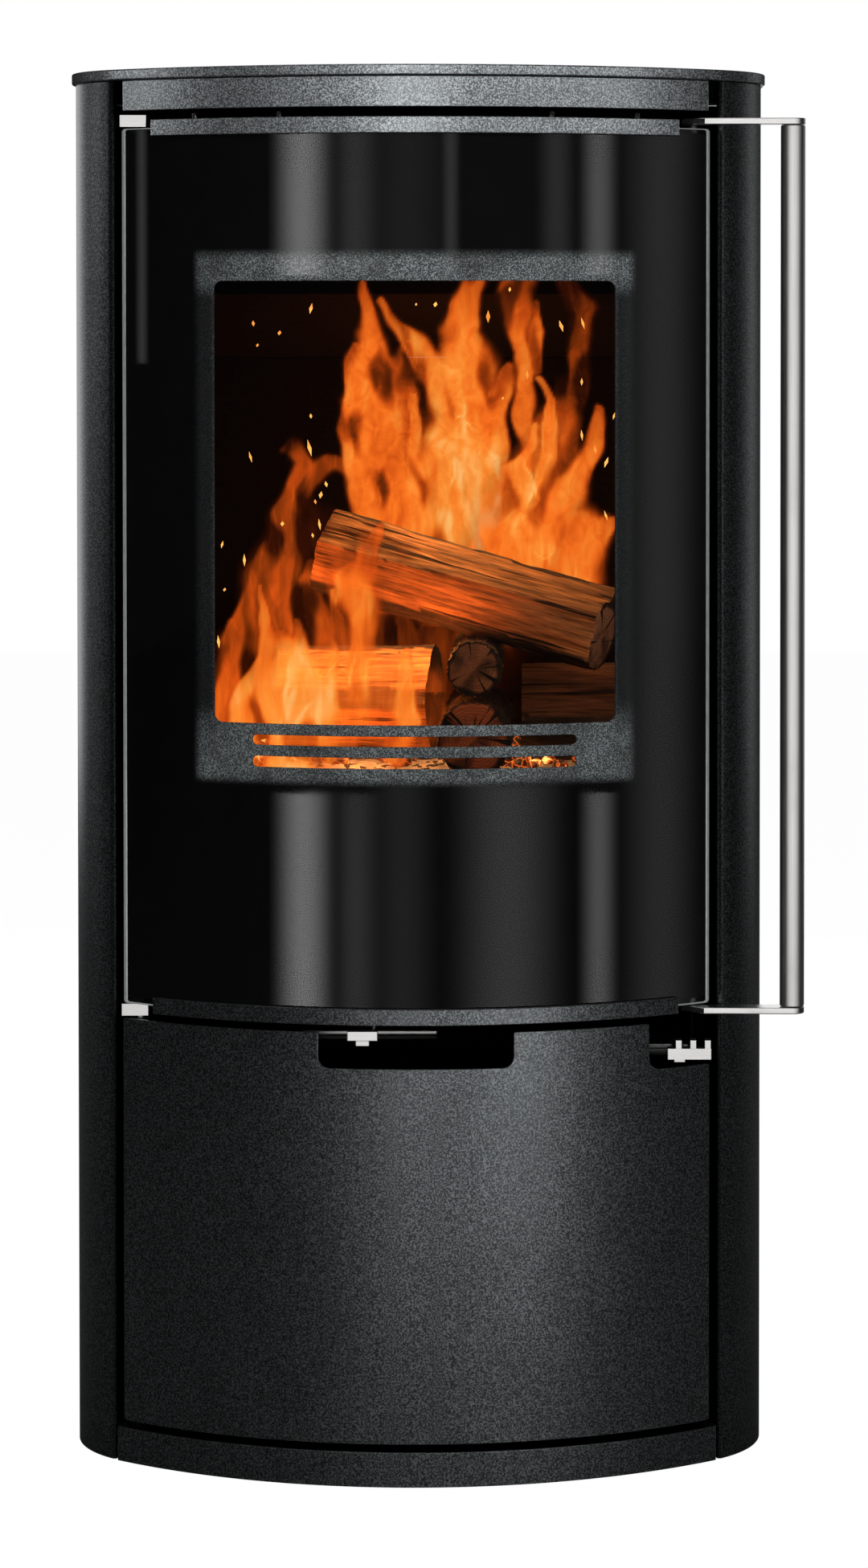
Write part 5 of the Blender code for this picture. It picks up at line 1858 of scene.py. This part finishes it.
@dataclass
class Flames:
    """Every flame and spark of the fire, at its place behind the window."""

    tongues: tuple[Tongue, ...]
    sparks: tuple[Point, ...]
    spark_y: float = -0.150
    cell: float = 1.7
    margin: float = 1.5
    ceiling: float = 897.0

    def build(self) -> None:
        """Draw one curtain for each layer, and the sparks."""
        finish = FlameLight("flame_light", None)
        for seed, layer in enumerate(Layer, start=2):
            flames = fit(f"flames_{layer.name.lower()}", self.curtain(layer, seed), Body.STOVE, [finish])
            flames.visible_shadow = flames.visible_diffuse = False
        fit("sparks", self.specks(), Body.STOVE, [SparkLight("spark_glow", None)])

    def curtain(self, layer: Layer, seed: int) -> Mesh:
        """Draw the curtain of one layer as a bowed net that is kept only where it burns.

        Args:
            layer: The layer.
            seed: The seed of its swirls.

        Returns:
            The mesh, which carries heat and cover at its points.
        """
        tongues = [tongue for tongue in self.tongues if tongue.layer is layer]
        spots = [point for tongue in tongues for point in tongue.points]
        left = min(x - h * self.margin for x, _, h in spots) - 8
        right = max(x + h * self.margin for x, _, h in spots) + 8
        low = min(z - h for _, z, h in spots)
        high = min(max(z + h for _, z, h in spots) + 6, self.ceiling)
        work = bmesh.new()
        heat_mark = work.verts.layers.float.new("flame_heat")
        cover_mark = work.verts.layers.float.new("flame_cover")
        rows = []
        for j in range(int((high - low) / self.cell) + 1):
            z = low + j * self.cell
            row = []
            for i in range(int((right - left) / self.cell) + 1):
                x = left + i * self.cell
                cover, heat = self.burn(tongues, x, z, seed)
                vert = work.verts.new((x / 1000, self.depth(layer, x, z), z / 1000))
                vert[heat_mark], vert[cover_mark] = heat, cover
                row.append((vert, cover))
            rows.append(row)
        for lower, upper in zip(rows, rows[1:]):
            for i in range(len(lower) - 1):
                corners = (lower[i], lower[i + 1], upper[i + 1], upper[i])
                if max(cover for _, cover in corners) > 0.01:
                    work.faces.new([vert for vert, _ in corners])
        bmesh.ops.delete(work, geom=[vert for vert in work.verts if not vert.link_faces], context="VERTS")
        return drawn("flames", work, 180.0)

    def depth(self, layer: Layer, x: float, z: float) -> float:
        """Return y of a layer at one spot, with slow waves.

        Args:
            layer: The layer.
            x: The spot's x in millimetres.
            z: Its height in millimetres.

        Returns:
            The depth in metres.
        """
        near, tip, low, high = layer.value
        wave = noise.noise(Vector((x / 45, z / 60, 7.0))) * 0.004
        return near + (tip - near) * smooth_step(z / 1000, low, high) + wave

    def burn(self, tongues: Sequence[Tongue], x: float, z: float, seed: int) -> Point:
        """Return how thick and how hot the flame is at one spot.

        Args:
            tongues: The tongues of the layer.
            x: The spot's x in millimetres.
            z: Its height in millimetres.
            seed: The seed of the swirls.

        Returns:
            The cover and the heat.
        """
        slow = noise.noise(Vector((x / 34, z / 52, seed)))
        quick = noise.noise(Vector((x / 11, z / 19, seed + 5.0)))
        at_x = x + 7.0 * slow + 3.4 * quick
        at_z = z + 8.0 * noise.noise(Vector((x / 24, z / 34, seed + 9.0)))
        hollow = smooth_step(noise.noise(Vector((at_x / 16, z / 46, seed + 13.0))), 0.06, 0.46)
        streak = noise.noise(Vector((at_x / 9, at_z / 44, seed + 17.0)))
        rimmed = smooth_step(noise.noise(Vector((x / 18, z / 27, seed + 21.0))), -0.15, 0.35)
        clear, weight, total, rims = 1.0, 1e-6, 0.0, 0.0
        for tongue in tongues:
            away, share = tongue.nearness(at_x, at_z)
            if away > 1.6:
                continue
            body = 1 - smooth_step(away, 0.55, 1.28)
            rim = math.exp(-((away - 0.86) / 0.15) ** 2)
            warm = tongue.heat * (0.80 + 0.24 * (1 - min(away, 1.0) ** 2))
            warm -= 0.16 * smooth_step(share, 0.55, 1.0)
            thick = body * tongue.cover * (1 - 0.35 * smooth_step(share, 0.6, 1.0))
            clear *= 1 - thick
            total += warm * thick
            weight += thick
            rims = max(rims, rim * rimmed * tongue.cover * tongue.heat)
        cover = (1 - clear) * (1 - 0.45 * hollow * (1 - rims))
        thin = 1 - smooth_step(1 - clear, 0.0, 0.85)
        heat = total / weight + 0.04 + 0.34 * rims - 0.32 * hollow + 0.16 * streak - 0.34 * thin
        return min(cover, 0.97), min(max(heat, 0.0), 1.0)

    def specks(self) -> Mesh:
        """Draw the sparks as small drawn-out drops.

        Returns:
            The mesh.
        """
        work = bmesh.new()
        chance = random.Random(5)
        for x, z in self.sparks:
            radius = chance.uniform(0.0009, 0.0016)
            length = radius * chance.choice((1.3, 1.8, 3.0, 4.2))
            lean = chance.uniform(-0.35, 0.35)
            centre = Vector((x / 1000, self.spark_y + chance.uniform(-0.008, 0.02), z / 1000))
            ring = [work.verts.new(centre + Vector((radius * math.cos(a), radius * math.sin(a), 0.0)))
                    for a in (math.tau * k / 6 for k in range(6))]
            ends = [work.verts.new(centre + Vector((lean * length * s, 0.0, length * s))) for s in (1, -1)]
            for i in range(6):
                j = (i + 1) % 6
                work.faces.new((ring[i], ring[j], ends[0]))
                work.faces.new((ring[j], ring[i], ends[1]))
        return drawn("sparks", work, 60.0)


@dataclass
class FireBed:
    """The glowing coals and ash that the logs lie in."""

    half_width: float = 0.168
    front: float = -0.078
    rear: float = 0.112
    floor: float = 0.5044
    lumps: int = 130

    def build(self) -> None:
        """Spread the ash and heap the coals on it."""
        fit("ash_layer", self.ash(), Body.STOVE, [WoodAsh("soft_wood_ash", None)])
        fit("glowing_coals", self.coals(), Body.STOVE, [GlowingCoal("glowing_coal", None)])

    def height(self, x: float, y: float) -> float:
        """Return how deep the ash lies at one spot.

        Args:
            x: The spot's x.
            y: The spot's y.

        Returns:
            The depth of the ash in metres.
        """
        edge = min(1.0, (self.half_width - abs(x)) / 0.02, (y - self.front) / 0.02, (self.rear - y) / 0.02)
        broad = noise.noise(Vector((x * 22, y * 22, 3.0)))
        swell = 0.5 + 0.5 * broad + 0.25 * noise.noise(Vector((x * 80, y * 80, 8.0)))
        return max(0.0, edge) * 0.008 * max(swell, 0.1)

    def ash(self) -> Mesh:
        """Draw the ash as an uneven layer that thins out to nothing.

        Returns:
            The mesh.
        """
        work = bmesh.new()
        across, deep = 70, 40
        grid = []
        for j in range(deep + 1):
            y = self.front + (self.rear - self.front) * j / deep
            xs = (-self.half_width + 2 * self.half_width * i / across for i in range(across + 1))
            grid.append([work.verts.new((x, y, self.floor + self.height(x, y))) for x in xs])
        for near, far in zip(grid, grid[1:]):
            for i in range(across):
                work.faces.new((near[i], near[i + 1], far[i + 1], far[i]))
        return drawn("ash", work, 180.0)

    def coals(self) -> Mesh:
        """Draw broken coals of many sizes, lying in the ash.

        Returns:
            The mesh.
        """
        work = bmesh.new()
        chance = random.Random(11)
        for _ in range(self.lumps):
            x = chance.uniform(-self.half_width + 0.015, self.half_width - 0.015)
            y = chance.uniform(self.front + 0.012, self.rear - 0.012)
            size = chance.uniform(0.004, 0.010)
            place = Matrix.Translation((x, y, self.floor + self.height(x, y) + size * 0.35))
            place = place @ Matrix.Rotation(chance.uniform(0, math.tau), 4, "Z")
            made = bmesh.ops.create_icosphere(work, subdivisions=2, radius=1.0)
            long, flat = chance.uniform(0.9, 1.6), chance.uniform(0.6, 0.9)
            stretch = Matrix.Diagonal((size * long, size, size * flat, 1.0))
            seed = chance.uniform(0, 90)
            for vert in made["verts"]:
                dent = noise.noise(vert.co * 1.6 + Vector((seed, 0, 0)))
                dent += 0.5 * noise.noise(vert.co * 4 + Vector((0, seed, 0)))
                vert.co *= 1 + 0.28 * dent
                vert.co = place @ stretch @ vert.co
                vert.co.z = max(vert.co.z, self.floor)
        return drawn("coals", work, 40.0)


def fire_tongues() -> tuple[Tongue, ...]:
    """Return the tongues of the fire, in millimetres, layer by layer: heat, cover and points.

    Returns:
        The tongues.
    """
    table = {
        Layer.MAIN: (
            (0.58, 0.94, ((-20, 640, 26), (-28, 708, 23), (-32, 746, 21), (-39, 781, 18), (-34, 813, 14),
                (-35, 840, 8), (-39, 859, 5), (-43, 876, 3))),
            (0.60, 0.90, ((-41, 660, 12), (-46, 712, 11), (-51, 744, 10), (-56, 762, 7), (-49, 782, 8),
                (-46, 799, 9), (-50, 814, 7), (-46, 823, 4))),
            (0.62, 0.95, ((18, 640, 33), (22, 707, 33), (29, 746, 30), (35, 780, 27), (36, 808, 23),
                (32, 834, 14), (34, 853, 11), (43, 871, 11), (47, 895, 11))),
            (0.98, 0.95, ((43, 640, 17), (46, 702, 18), (44, 731, 17), (36, 752, 11), (30, 769, 5))),
            (0.88, 0.80, ((30, 645, 30), (34, 700, 26), (32, 745, 20), (34, 780, 12))),
            (0.76, 0.90, ((-7, 645, 19), (6, 712, 19), (19, 747, 15), (23, 777, 14), (13, 803, 12),
                (-4, 828, 9), (-18, 845, 6), (-28, 859, 4))),
            (0.44, 0.80, ((-24, 700, 22), (-20, 760, 20), (-14, 800, 15), (-10, 822, 9))),
            (0.66, 0.85, ((56, 640, 10), (58, 721, 9), (57, 764, 9), (61, 794, 8), (65, 810, 5))),
            (0.86, 0.85, ((-15, 650, 6), (-6, 722, 5), (-3, 757, 5), (-5, 788, 3))),
            (0.90, 0.85, ((16, 650, 7), (12, 701, 6), (17, 723, 5), (30, 765, 5), (33, 791, 4),
                (28, 805, 3))),
            (0.56, 0.85, ((81, 733, 6), (79, 771, 8), (77, 797, 8), (81, 823, 9), (75, 844, 11),
                (73, 865, 12), (75, 895, 12))),
            (0.26, 0.62, ((96, 691, 10), (112, 729, 9), (115, 746, 7), (116, 772, 7), (121, 798, 8),
                (120, 830, 9), (122, 851, 9), (112, 869, 8), (107, 890, 8))),
            (0.55, 0.80, ((88, 808, 4), (90, 835, 5), (88, 858, 3))),
        ),
        Layer.RIGHT: (
            (0.80, 0.90, ((91, 650, 10), (89, 702, 8), (96, 736, 7), (98, 766, 7), (99, 785, 5),
                (90, 804, 3))),
            (0.84, 0.90, ((93, 670, 10), (83, 714, 9), (71, 732, 6), (81, 745, 4), (86, 764, 3))),
            (0.60, 0.90, ((71, 640, 26), (94, 688, 22), (112, 708, 14), (126, 736, 9), (131, 755, 7),
                (136, 776, 4))),
            (0.58, 0.90, ((114, 630, 26), (127, 680, 20), (139, 686, 11), (154, 692, 4))),
            (0.64, 0.88, ((44, 640, 24), (64, 672, 22), (81, 693, 13), (93, 705, 4))),
            (0.80, 0.80, ((123, 612, 10), (127, 641, 8), (124, 660, 4))),
            (0.50, 0.62, ((60, 660, 34), (86, 730, 24), (104, 770, 16), (110, 800, 8))),
        ),
        Layer.BACK: (
            (0.30, 0.75, ((-123, 630, 15), (-107, 694, 11), (-96, 719, 10), (-92, 734, 8), (-100, 746, 8),
                (-111, 743, 3))),
            (0.27, 0.70, ((-96, 698, 8), (-84, 725, 9), (-69, 731, 8), (-52, 725, 9), (-44, 700, 9))),
            (0.32, 0.80, ((-156, 526, 18), (-147, 569, 13), (-149, 598, 12), (-137, 623, 10),
                (-118, 659, 10), (-105, 700, 8))),
            (0.36, 0.80, ((-115, 600, 10), (-109, 645, 8), (-107, 662, 7), (-100, 688, 4))),
            (0.40, 0.75, ((-81, 610, 12), (-87, 641, 8), (-83, 660, 4))),
            (0.38, 0.85, ((-154, 516, 18), (-156, 554, 14), (-152, 583, 10), (-154, 610, 4))),
            (0.22, 0.70, ((-110, 560, 40), (-120, 640, 26), (-90, 690, 20))),
            (0.20, 0.55, ((-60, 560, 60), (10, 600, 60), (60, 640, 50), (100, 640, 40))),
        ),
        Layer.FRONT: (
            (0.76, 0.90, ((-122, 516, 20), (-109, 564, 18), (-99, 587, 13), (-103, 603, 7),
                (-106, 614, 3))),
            (0.66, 0.80, ((-117, 575, 7), (-114, 614, 6), (-117, 646, 3))),
            (0.95, 0.92, ((-89, 516, 24), (-83, 557, 20), (-87, 579, 14), (-91, 598, 8), (-96, 618, 3))),
            (0.86, 0.90, ((-80, 535, 12), (-62, 572, 9), (-54, 588, 8), (-55, 608, 8), (-60, 624, 6),
                (-63, 641, 3))),
            (0.58, 0.80, ((-53, 570, 16), (-48, 620, 15), (-46, 644, 14), (-38, 668, 10), (-27, 690, 5))),
            (0.78, 0.85, ((-9, 545, 8), (-8, 579, 5), (-8, 600, 3))),
            (0.56, 0.62, ((-120, 530, 34), (-60, 560, 44), (-20, 556, 40), (0, 545, 26))),
            (0.48, 0.50, ((-56, 600, 26), (-46, 645, 24), (-34, 672, 20), (-14, 668, 12))),
            (0.80, 0.85, ((-132, 516, 14), (-134, 554, 10), (-128, 570, 7), (-119, 588, 3))),
            (0.62, 0.70, ((-14, 520, 12), (-11, 552, 8), (-4, 572, 4))),
            (0.30, 0.45, ((36, 535, 14), (41, 555, 8), (42, 580, 4))),
        ),
    }
    return tuple(Tongue(layer, *row) for layer, rows in table.items() for row in rows)


SPARKS: tuple[Point, ...] = (
    (-78, 854), (-101, 836), (-116, 827), (-119, 843), (-77, 775), (-79, 751), (-121, 745), (-71, 716),
    (-75, 711), (-67, 724), (-71, 695), (-76, 687), (-99, 695), (-143, 680), (-126, 669), (-141, 647),
    (-146, 608), (0, 857), (14, 857), (53, 848), (123, 843), (107, 841), (122, 800), (146, 775), (132, 750),
    (140, 741), (140, 701), (82, 805), (64, 788), (69, 868), (122, 761))


@dataclass
class Fire:
    """The logs, their flames and the bed that they burn on."""

    def build(self) -> None:
        """Lay the logs, then the bed, then the flames."""
        for billet, stands_for in self.billets():
            billet.build(stands_for)
        FireBed().build()
        Flames(fire_tongues(), SPARKS).build()
        self.glow()

    def billets(self) -> tuple[tuple[Billet, str], ...]:
        """Return the five logs, each with the plain solid that it replaces.

        Returns:
            The pairs of a log and the name of its solid.
        """
        brown = FireWood("split_wood_brown", "split_wood", fibre=(0.16, 0.062, 0.028))
        straw = FireWood("split_wood_straw", "split_wood", fibre=(0.50, 0.215, 0.078))
        rind = FireWood("bark_on_rounds", "split_wood", bark=(0.050, 0.030, 0.020))
        cut = partial(EndGrain, slot="split_wood")
        lower_cut = cut("end_grain_lower", pith=(0.002, 0.001), radius=0.029, wood=(0.60, 0.17, 0.07))
        upper_cut = cut("end_grain_upper", pith=(0.001, 0.001), radius=0.0212, wood=(0.44, 0.185, 0.095))
        left_cut = cut("end_grain_left", pith=(0.012, -0.010), radius=0.044)
        right_cut = cut("end_grain_right", pith=(0.0, -0.012), radius=0.038)
        top_cut = cut("end_grain_top", pith=(-0.010, -0.008), radius=0.031, wood=(0.52, 0.27, 0.17))
        return (
            (Billet("log_on_hearth", (0.043, -0.128, 0.5343), (0.043, 0.040, 0.5343), 0.030, (), 3,
                    (0.15, 0.5, 0.9), rind, lower_cut), "log_bottom"),
            (Billet("round_log", (0.043, -0.130, 0.5866), (0.043, 0.030, 0.5866), 0.022, (), 8,
                    (0.2, 0.55, 0.9), rind, upper_cut), "log_round"),
            (Billet("left_split_log", (-0.112, -0.010, 0.5503), (0.012, -0.010, 0.5503), 0.046,
                    ((128.0, 0.86), (214.0, 0.80)), 5, (0.0, 0.0, 0.1), straw, left_cut, 0.15), "log_left"),
            (Billet("right_split_log", (0.076, -0.030, 0.5443), (0.172, -0.030, 0.5443), 0.040,
                    ((138.0, 0.74),), 12, (0.3, 0.2, 0.3), brown, right_cut), "log_right"),
            (Billet("top_split_log", (-0.076, -0.030, 0.670), (0.143, -0.075, 0.611), 0.034,
                    ((126.0, 0.80), (192.0, 0.84)), 21, (0.1, 0.0, 0.0), straw, top_cut, 0.16), "log_top"),
        )

    def glow(self) -> None:
        """Light the logs and the bed from the flames, and the lining very faintly."""
        amber, red = (1.0, 0.50, 0.18), (1.0, 0.26, 0.05)
        table = (
            ("fire_high", (0.03, -0.030, 0.775), 1.25, amber, Flagged.FIRE, True),
            ("fire_left", (-0.115, -0.090, 0.64), 0.24, red, Flagged.FIRE, True),
            ("fire_under", (0.01, -0.100, 0.60), 0.16, red, Flagged.FIRE, True),
            ("fire_over_left_log", (-0.06, -0.09, 0.67), 3.2, (1.0, 0.42, 0.13), Flagged.LEFT_LOG, False),
            ("fire_low", (-0.05, -0.085, 0.53), 0.25, red, Flagged.FIRE, True),
            ("fire_end", (0.26, -0.26, 0.66), 0.52, (1.0, 0.66, 0.45), Flagged.FIRE, False),
            ("fire_disc", (0.02, -0.30, 0.62), 0.19, (1.0, 0.56, 0.32), Flagged.FIRE, False),
            ("fire_lining", (0.0, -0.02, 0.68), 0.05, red, Flagged.EVERYTHING, True),
        )
        for name, spot, power, colour, falls_on, shaded in table:
            lamp = bpy.data.lights.new(name, "POINT")
            lamp.energy = power
            lamp.color = colour
            lamp.shadow_soft_size = 0.02
            lamp.use_shadow = shaded
            aim(placed(name, lamp, spot), falls_on)


# The studio


class Flagged(Enum):
    """What a light falls on, where flags keep it off the rest: the starts of piece names."""

    EVERYTHING = ()
    PANE = ("glass_pane",)
    PANEL = ("window_panel",)
    CROWN = ("top_plate", "top_cover", "top_rail", "fascia")
    SIDES = ("left_side_panel", "right_side_panel")
    STORE_FRONT = ("store_door_front", "plinth", "bottom_rail")
    STEEL = ("long_bar", "lower_handle_arm", "upper_handle_arm", "air_lever", "primary_lever",
             "upper_door_hinge", "lower_door_hinge")
    LEFT_LOG = ("left_split_log", "ash_layer", "glowing_coals")
    FIRE = ("log_on_hearth", "round_log", "left_split_log", "right_split_log", "top_split_log", "ash_layer",
            "glowing_coals", "grate")


@dataclass(frozen=True)
class Softbox:
    """An upright soft light that faces the stove."""

    name: str
    azimuth: float
    distance: float
    low: float
    high: float
    width: float
    radiance: float
    falls_on: Flagged = Flagged.EVERYTHING
    fade_share: float = 1.5

    def hang(self) -> None:
        """Hang the light, brightest along its middle and fading to its sides."""
        lamp = bpy.data.lights.new(self.name, "AREA")
        lamp.shape = "RECTANGLE"
        lamp.size = self.width
        lamp.size_y = self.high - self.low
        lamp.energy = self.radiance * math.pi * lamp.size * lamp.size_y * self.fade_share
        lamp.use_nodes = True
        tree = lamp.node_tree
        glow = next(node for node in tree.nodes if node.type == "EMISSION")
        across = tree.nodes.new("ShaderNodeSeparateXYZ")
        tree.links.new(tree.nodes.new("ShaderNodeNewGeometry").outputs["Parametric"], across.inputs[0])
        fade = tree.nodes.new("ShaderNodeMapRange")
        fade.interpolation_type = "SMOOTHSTEP"
        middle = tree.nodes.new("ShaderNodeMath")
        middle.operation = "PINGPONG"
        middle.inputs[1].default_value = 0.5
        tree.links.new(across.outputs[0], middle.inputs[0])
        tree.links.new(middle.outputs[0], fade.inputs["Value"])
        fade.inputs["From Max"].default_value = 0.5
        fade.inputs["To Min"].default_value = 0.02
        tree.links.new(fade.outputs[0], glow.inputs["Strength"])
        angle = math.radians(self.azimuth)
        spot = (self.distance * math.sin(angle), -self.distance * math.cos(angle), (self.low + self.high) / 2)
        aim(placed(self.name, lamp, spot, (math.radians(90), 0.0, angle)), self.falls_on)


def aim(light: Piece, falls_on: Flagged) -> None:
    """Hide a light from the camera and keep it off everything but the chosen pieces.

    Args:
        light: The light.
        falls_on: The choice.
    """
    light.visible_camera = False
    if falls_on.value:
        lit = bpy.data.collections.new(light.name + "_falls_on")
        for piece in bpy.data.objects:
            if piece.type == "MESH" and piece.name.startswith(falls_on.value):
                lit.objects.link(piece)
        light.light_linking.receiver_collection = lit


@dataclass
class Studio:
    """The pale floor, the soft lights and the camera."""

    floor_size: float = 14.0
    eye: Triple = (0.0892, -3.1118, 0.850)
    lens: float = 92.516
    turn: float = -0.061
    pitch: float = 1.4445
    shift: Point = (-0.0685, -0.235)

    def build(self) -> None:
        """Set up the floor, the surroundings, the lights and the camera."""
        self.floor()
        self.surroundings()
        for softbox in self.softboxes():
            softbox.hang()
        self.overhead()
        self.camera()
        scene = bpy.context.scene
        scene.view_settings.view_transform = "Standard"
        scene.cycles.use_denoising = True
        scene.cycles.max_bounces = 8
        scene.cycles.transparent_max_bounces = 24
        scene.cycles.caustics_reflective = False
        scene.cycles.caustics_refractive = False
        scene.cycles.sample_clamp_indirect = 4.0

    def softboxes(self) -> list[Softbox]:
        """Return the lights round the stove; 0 degrees is straight in front and 90 at its right.

        Each row holds a name, azimuth, distance, low and high edge, width and radiance.

        Returns:
            The lights.
        """
        groups = {
            Flagged.PANE: (
                ("left_strip_low", -26.5, 1.3, 0.0, 0.374, 0.36, 2.7),
                ("left_strip_high", -26.5, 1.3, 0.888, 1.07, 0.36, 2.7),
                ("left_tail_low", -14.5, 1.3, 0.0, 0.374, 0.3, 0.45),
                ("left_tail_high", -14.5, 1.3, 0.888, 1.07, 0.3, 0.45),
                ("right_strip_low", 40.8, 1.3, 0.0, 0.374, 0.24, 1.3),
                ("right_strip_high", 40.8, 1.3, 0.888, 1.07, 0.24, 1.3),
                ("right_box_low", 20.0, 1.4, 0.0, 0.37, 0.75, 0.62),
                ("right_box_side", 56.0, 1.4, 0.0, 1.07, 0.60, 0.36),
                ("right_box_high", 31.0, 1.4, 0.888, 1.07, 0.26, 0.36),
                ("middle_high", 7.0, 1.4, 0.888, 1.07, 0.12, 0.45),
                ("middle_faint", -3.0, 1.4, 0.888, 1.07, 0.60, 0.16),
                ("middle_low", -4.0, 1.4, 0.0, 0.37, 0.45, 0.22),
                ("far_left_high", -66.0, 1.4, 0.80, 1.07, 0.10, 0.5),
                ("far_left_edge", -71.0, 1.4, 0.0, 1.07, 0.05, 0.6),
            ),
            Flagged.CROWN: (
                ("crown_middle", -2.0, 2.2, 1.0, 1.7, 0.50, 17.0),
                ("crown_right", 25.0, 2.2, 1.0, 1.7, 0.50, 7.0),
                ("crown_side", 45.0, 2.2, 1.0, 1.7, 0.55, 7.5),
                ("crown_left", -27.0, 2.2, 1.0, 1.7, 0.34, 4.2),
                ("crown_far_left", -67.0, 2.2, 1.0, 1.7, 0.36, 10.0),
            ),
            Flagged.STORE_FRONT: (
                ("store_right", 22.0, 1.5, 0.0, 0.40, 0.60, 3.2),
                ("store_left", -2.0, 1.5, 0.0, 0.40, 0.70, 1.7),
            ),
            Flagged.STEEL: (
                ("steel_front", 8.0, 1.2, 0.0, 1.5, 4.4, 0.92),
            ),
            Flagged.PANEL: (
                ("panel_front", 8.0, 2.0, 0.6, 1.8, 1.6, 9.0),
            ),
            Flagged.SIDES: (
                ("left_rear", -140.0, 1.8, 0.3, 2.0, 1.3, 1.2),
                ("left_side", -96.0, 1.8, 0.9, 2.0, 0.8, 0.55),
                ("right_front", 60.0, 1.8, 0.2, 1.7, 0.9, 0.22),
            ),
            Flagged.EVERYTHING: (
                ("left_side_light", -104.0, 2.2, 0.2, 1.8, 0.7, 0.32),
                ("right_side_light", 124.0, 2.2, 0.2, 1.8, 0.9, 0.5),
                ("behind", 176.0, 2.4, 0.4, 1.8, 1.4, 1.2),
            ),
        }
        return [Softbox(*row, falls_on) for falls_on, rows in groups.items() for row in rows]

    def overhead(self) -> None:
        """Hang a wide soft light over the stove."""
        lamp = bpy.data.lights.new("overhead", "AREA")
        lamp.size = 2.2
        lamp.energy = 12.0
        aim(placed("overhead", lamp, (0.0, -0.3, 2.9)), Flagged.EVERYTHING)

    def floor(self) -> None:
        """Lay the pale floor."""
        mesh = bpy.data.meshes.new("floor")
        half = self.floor_size / 2
        corners = [(-half, -half, 0), (half, -half, 0), (half, half, 0), (-half, half, 0)]
        mesh.from_pydata(corners, [], [range(4)])
        mesh.materials.append(StudioPaper("studio_paper", None).mix())
        floor = placed("floor", mesh)

    def surroundings(self) -> None:
        """Make the surroundings white to look at and dim in reflections."""
        world = bpy.data.worlds.new("studio")
        world.use_nodes = True
        tree = world.node_tree
        back = tree.nodes["Background"]
        pick = tree.nodes.new("ShaderNodeMix")
        pick.inputs[2].default_value = 0.022
        pick.inputs[3].default_value = 1.0
        tree.links.new(tree.nodes.new("ShaderNodeLightPath").outputs["Is Camera Ray"], pick.inputs[0])
        tree.links.new(pick.outputs[0], back.inputs["Strength"])
        back.inputs["Color"].default_value = (1.0, 1.0, 1.0, 1.0)
        bpy.context.scene.world = world

    def camera(self) -> None:
        """Stand the camera where the photographer stood."""
        view = bpy.data.cameras.new("camera")
        view.lens = self.lens
        view.sensor_width = 36.0
        view.shift_x, view.shift_y = self.shift
        view.clip_start, view.clip_end = 0.1, 60.0
        turn = (math.radians(90 - self.pitch), 0.0, math.radians(self.turn))
        bpy.context.scene.camera = placed("camera", view, self.eye, turn)


def main() -> None:
    """Build and dress every sub-assembly, then the studio."""
    logging.basicConfig(level=logging.INFO, format="%(name)s: %(message)s")
    assemblies = (Casing(), FireboxBody(), GlassDoor(), StoreDoor(), LongHandle(), Levers(), Fire(), Studio())
    for assembly in assemblies:
        log.info("building %s", type(assembly).__name__)
        assembly.build()


if __name__ == "__main__":
    main()
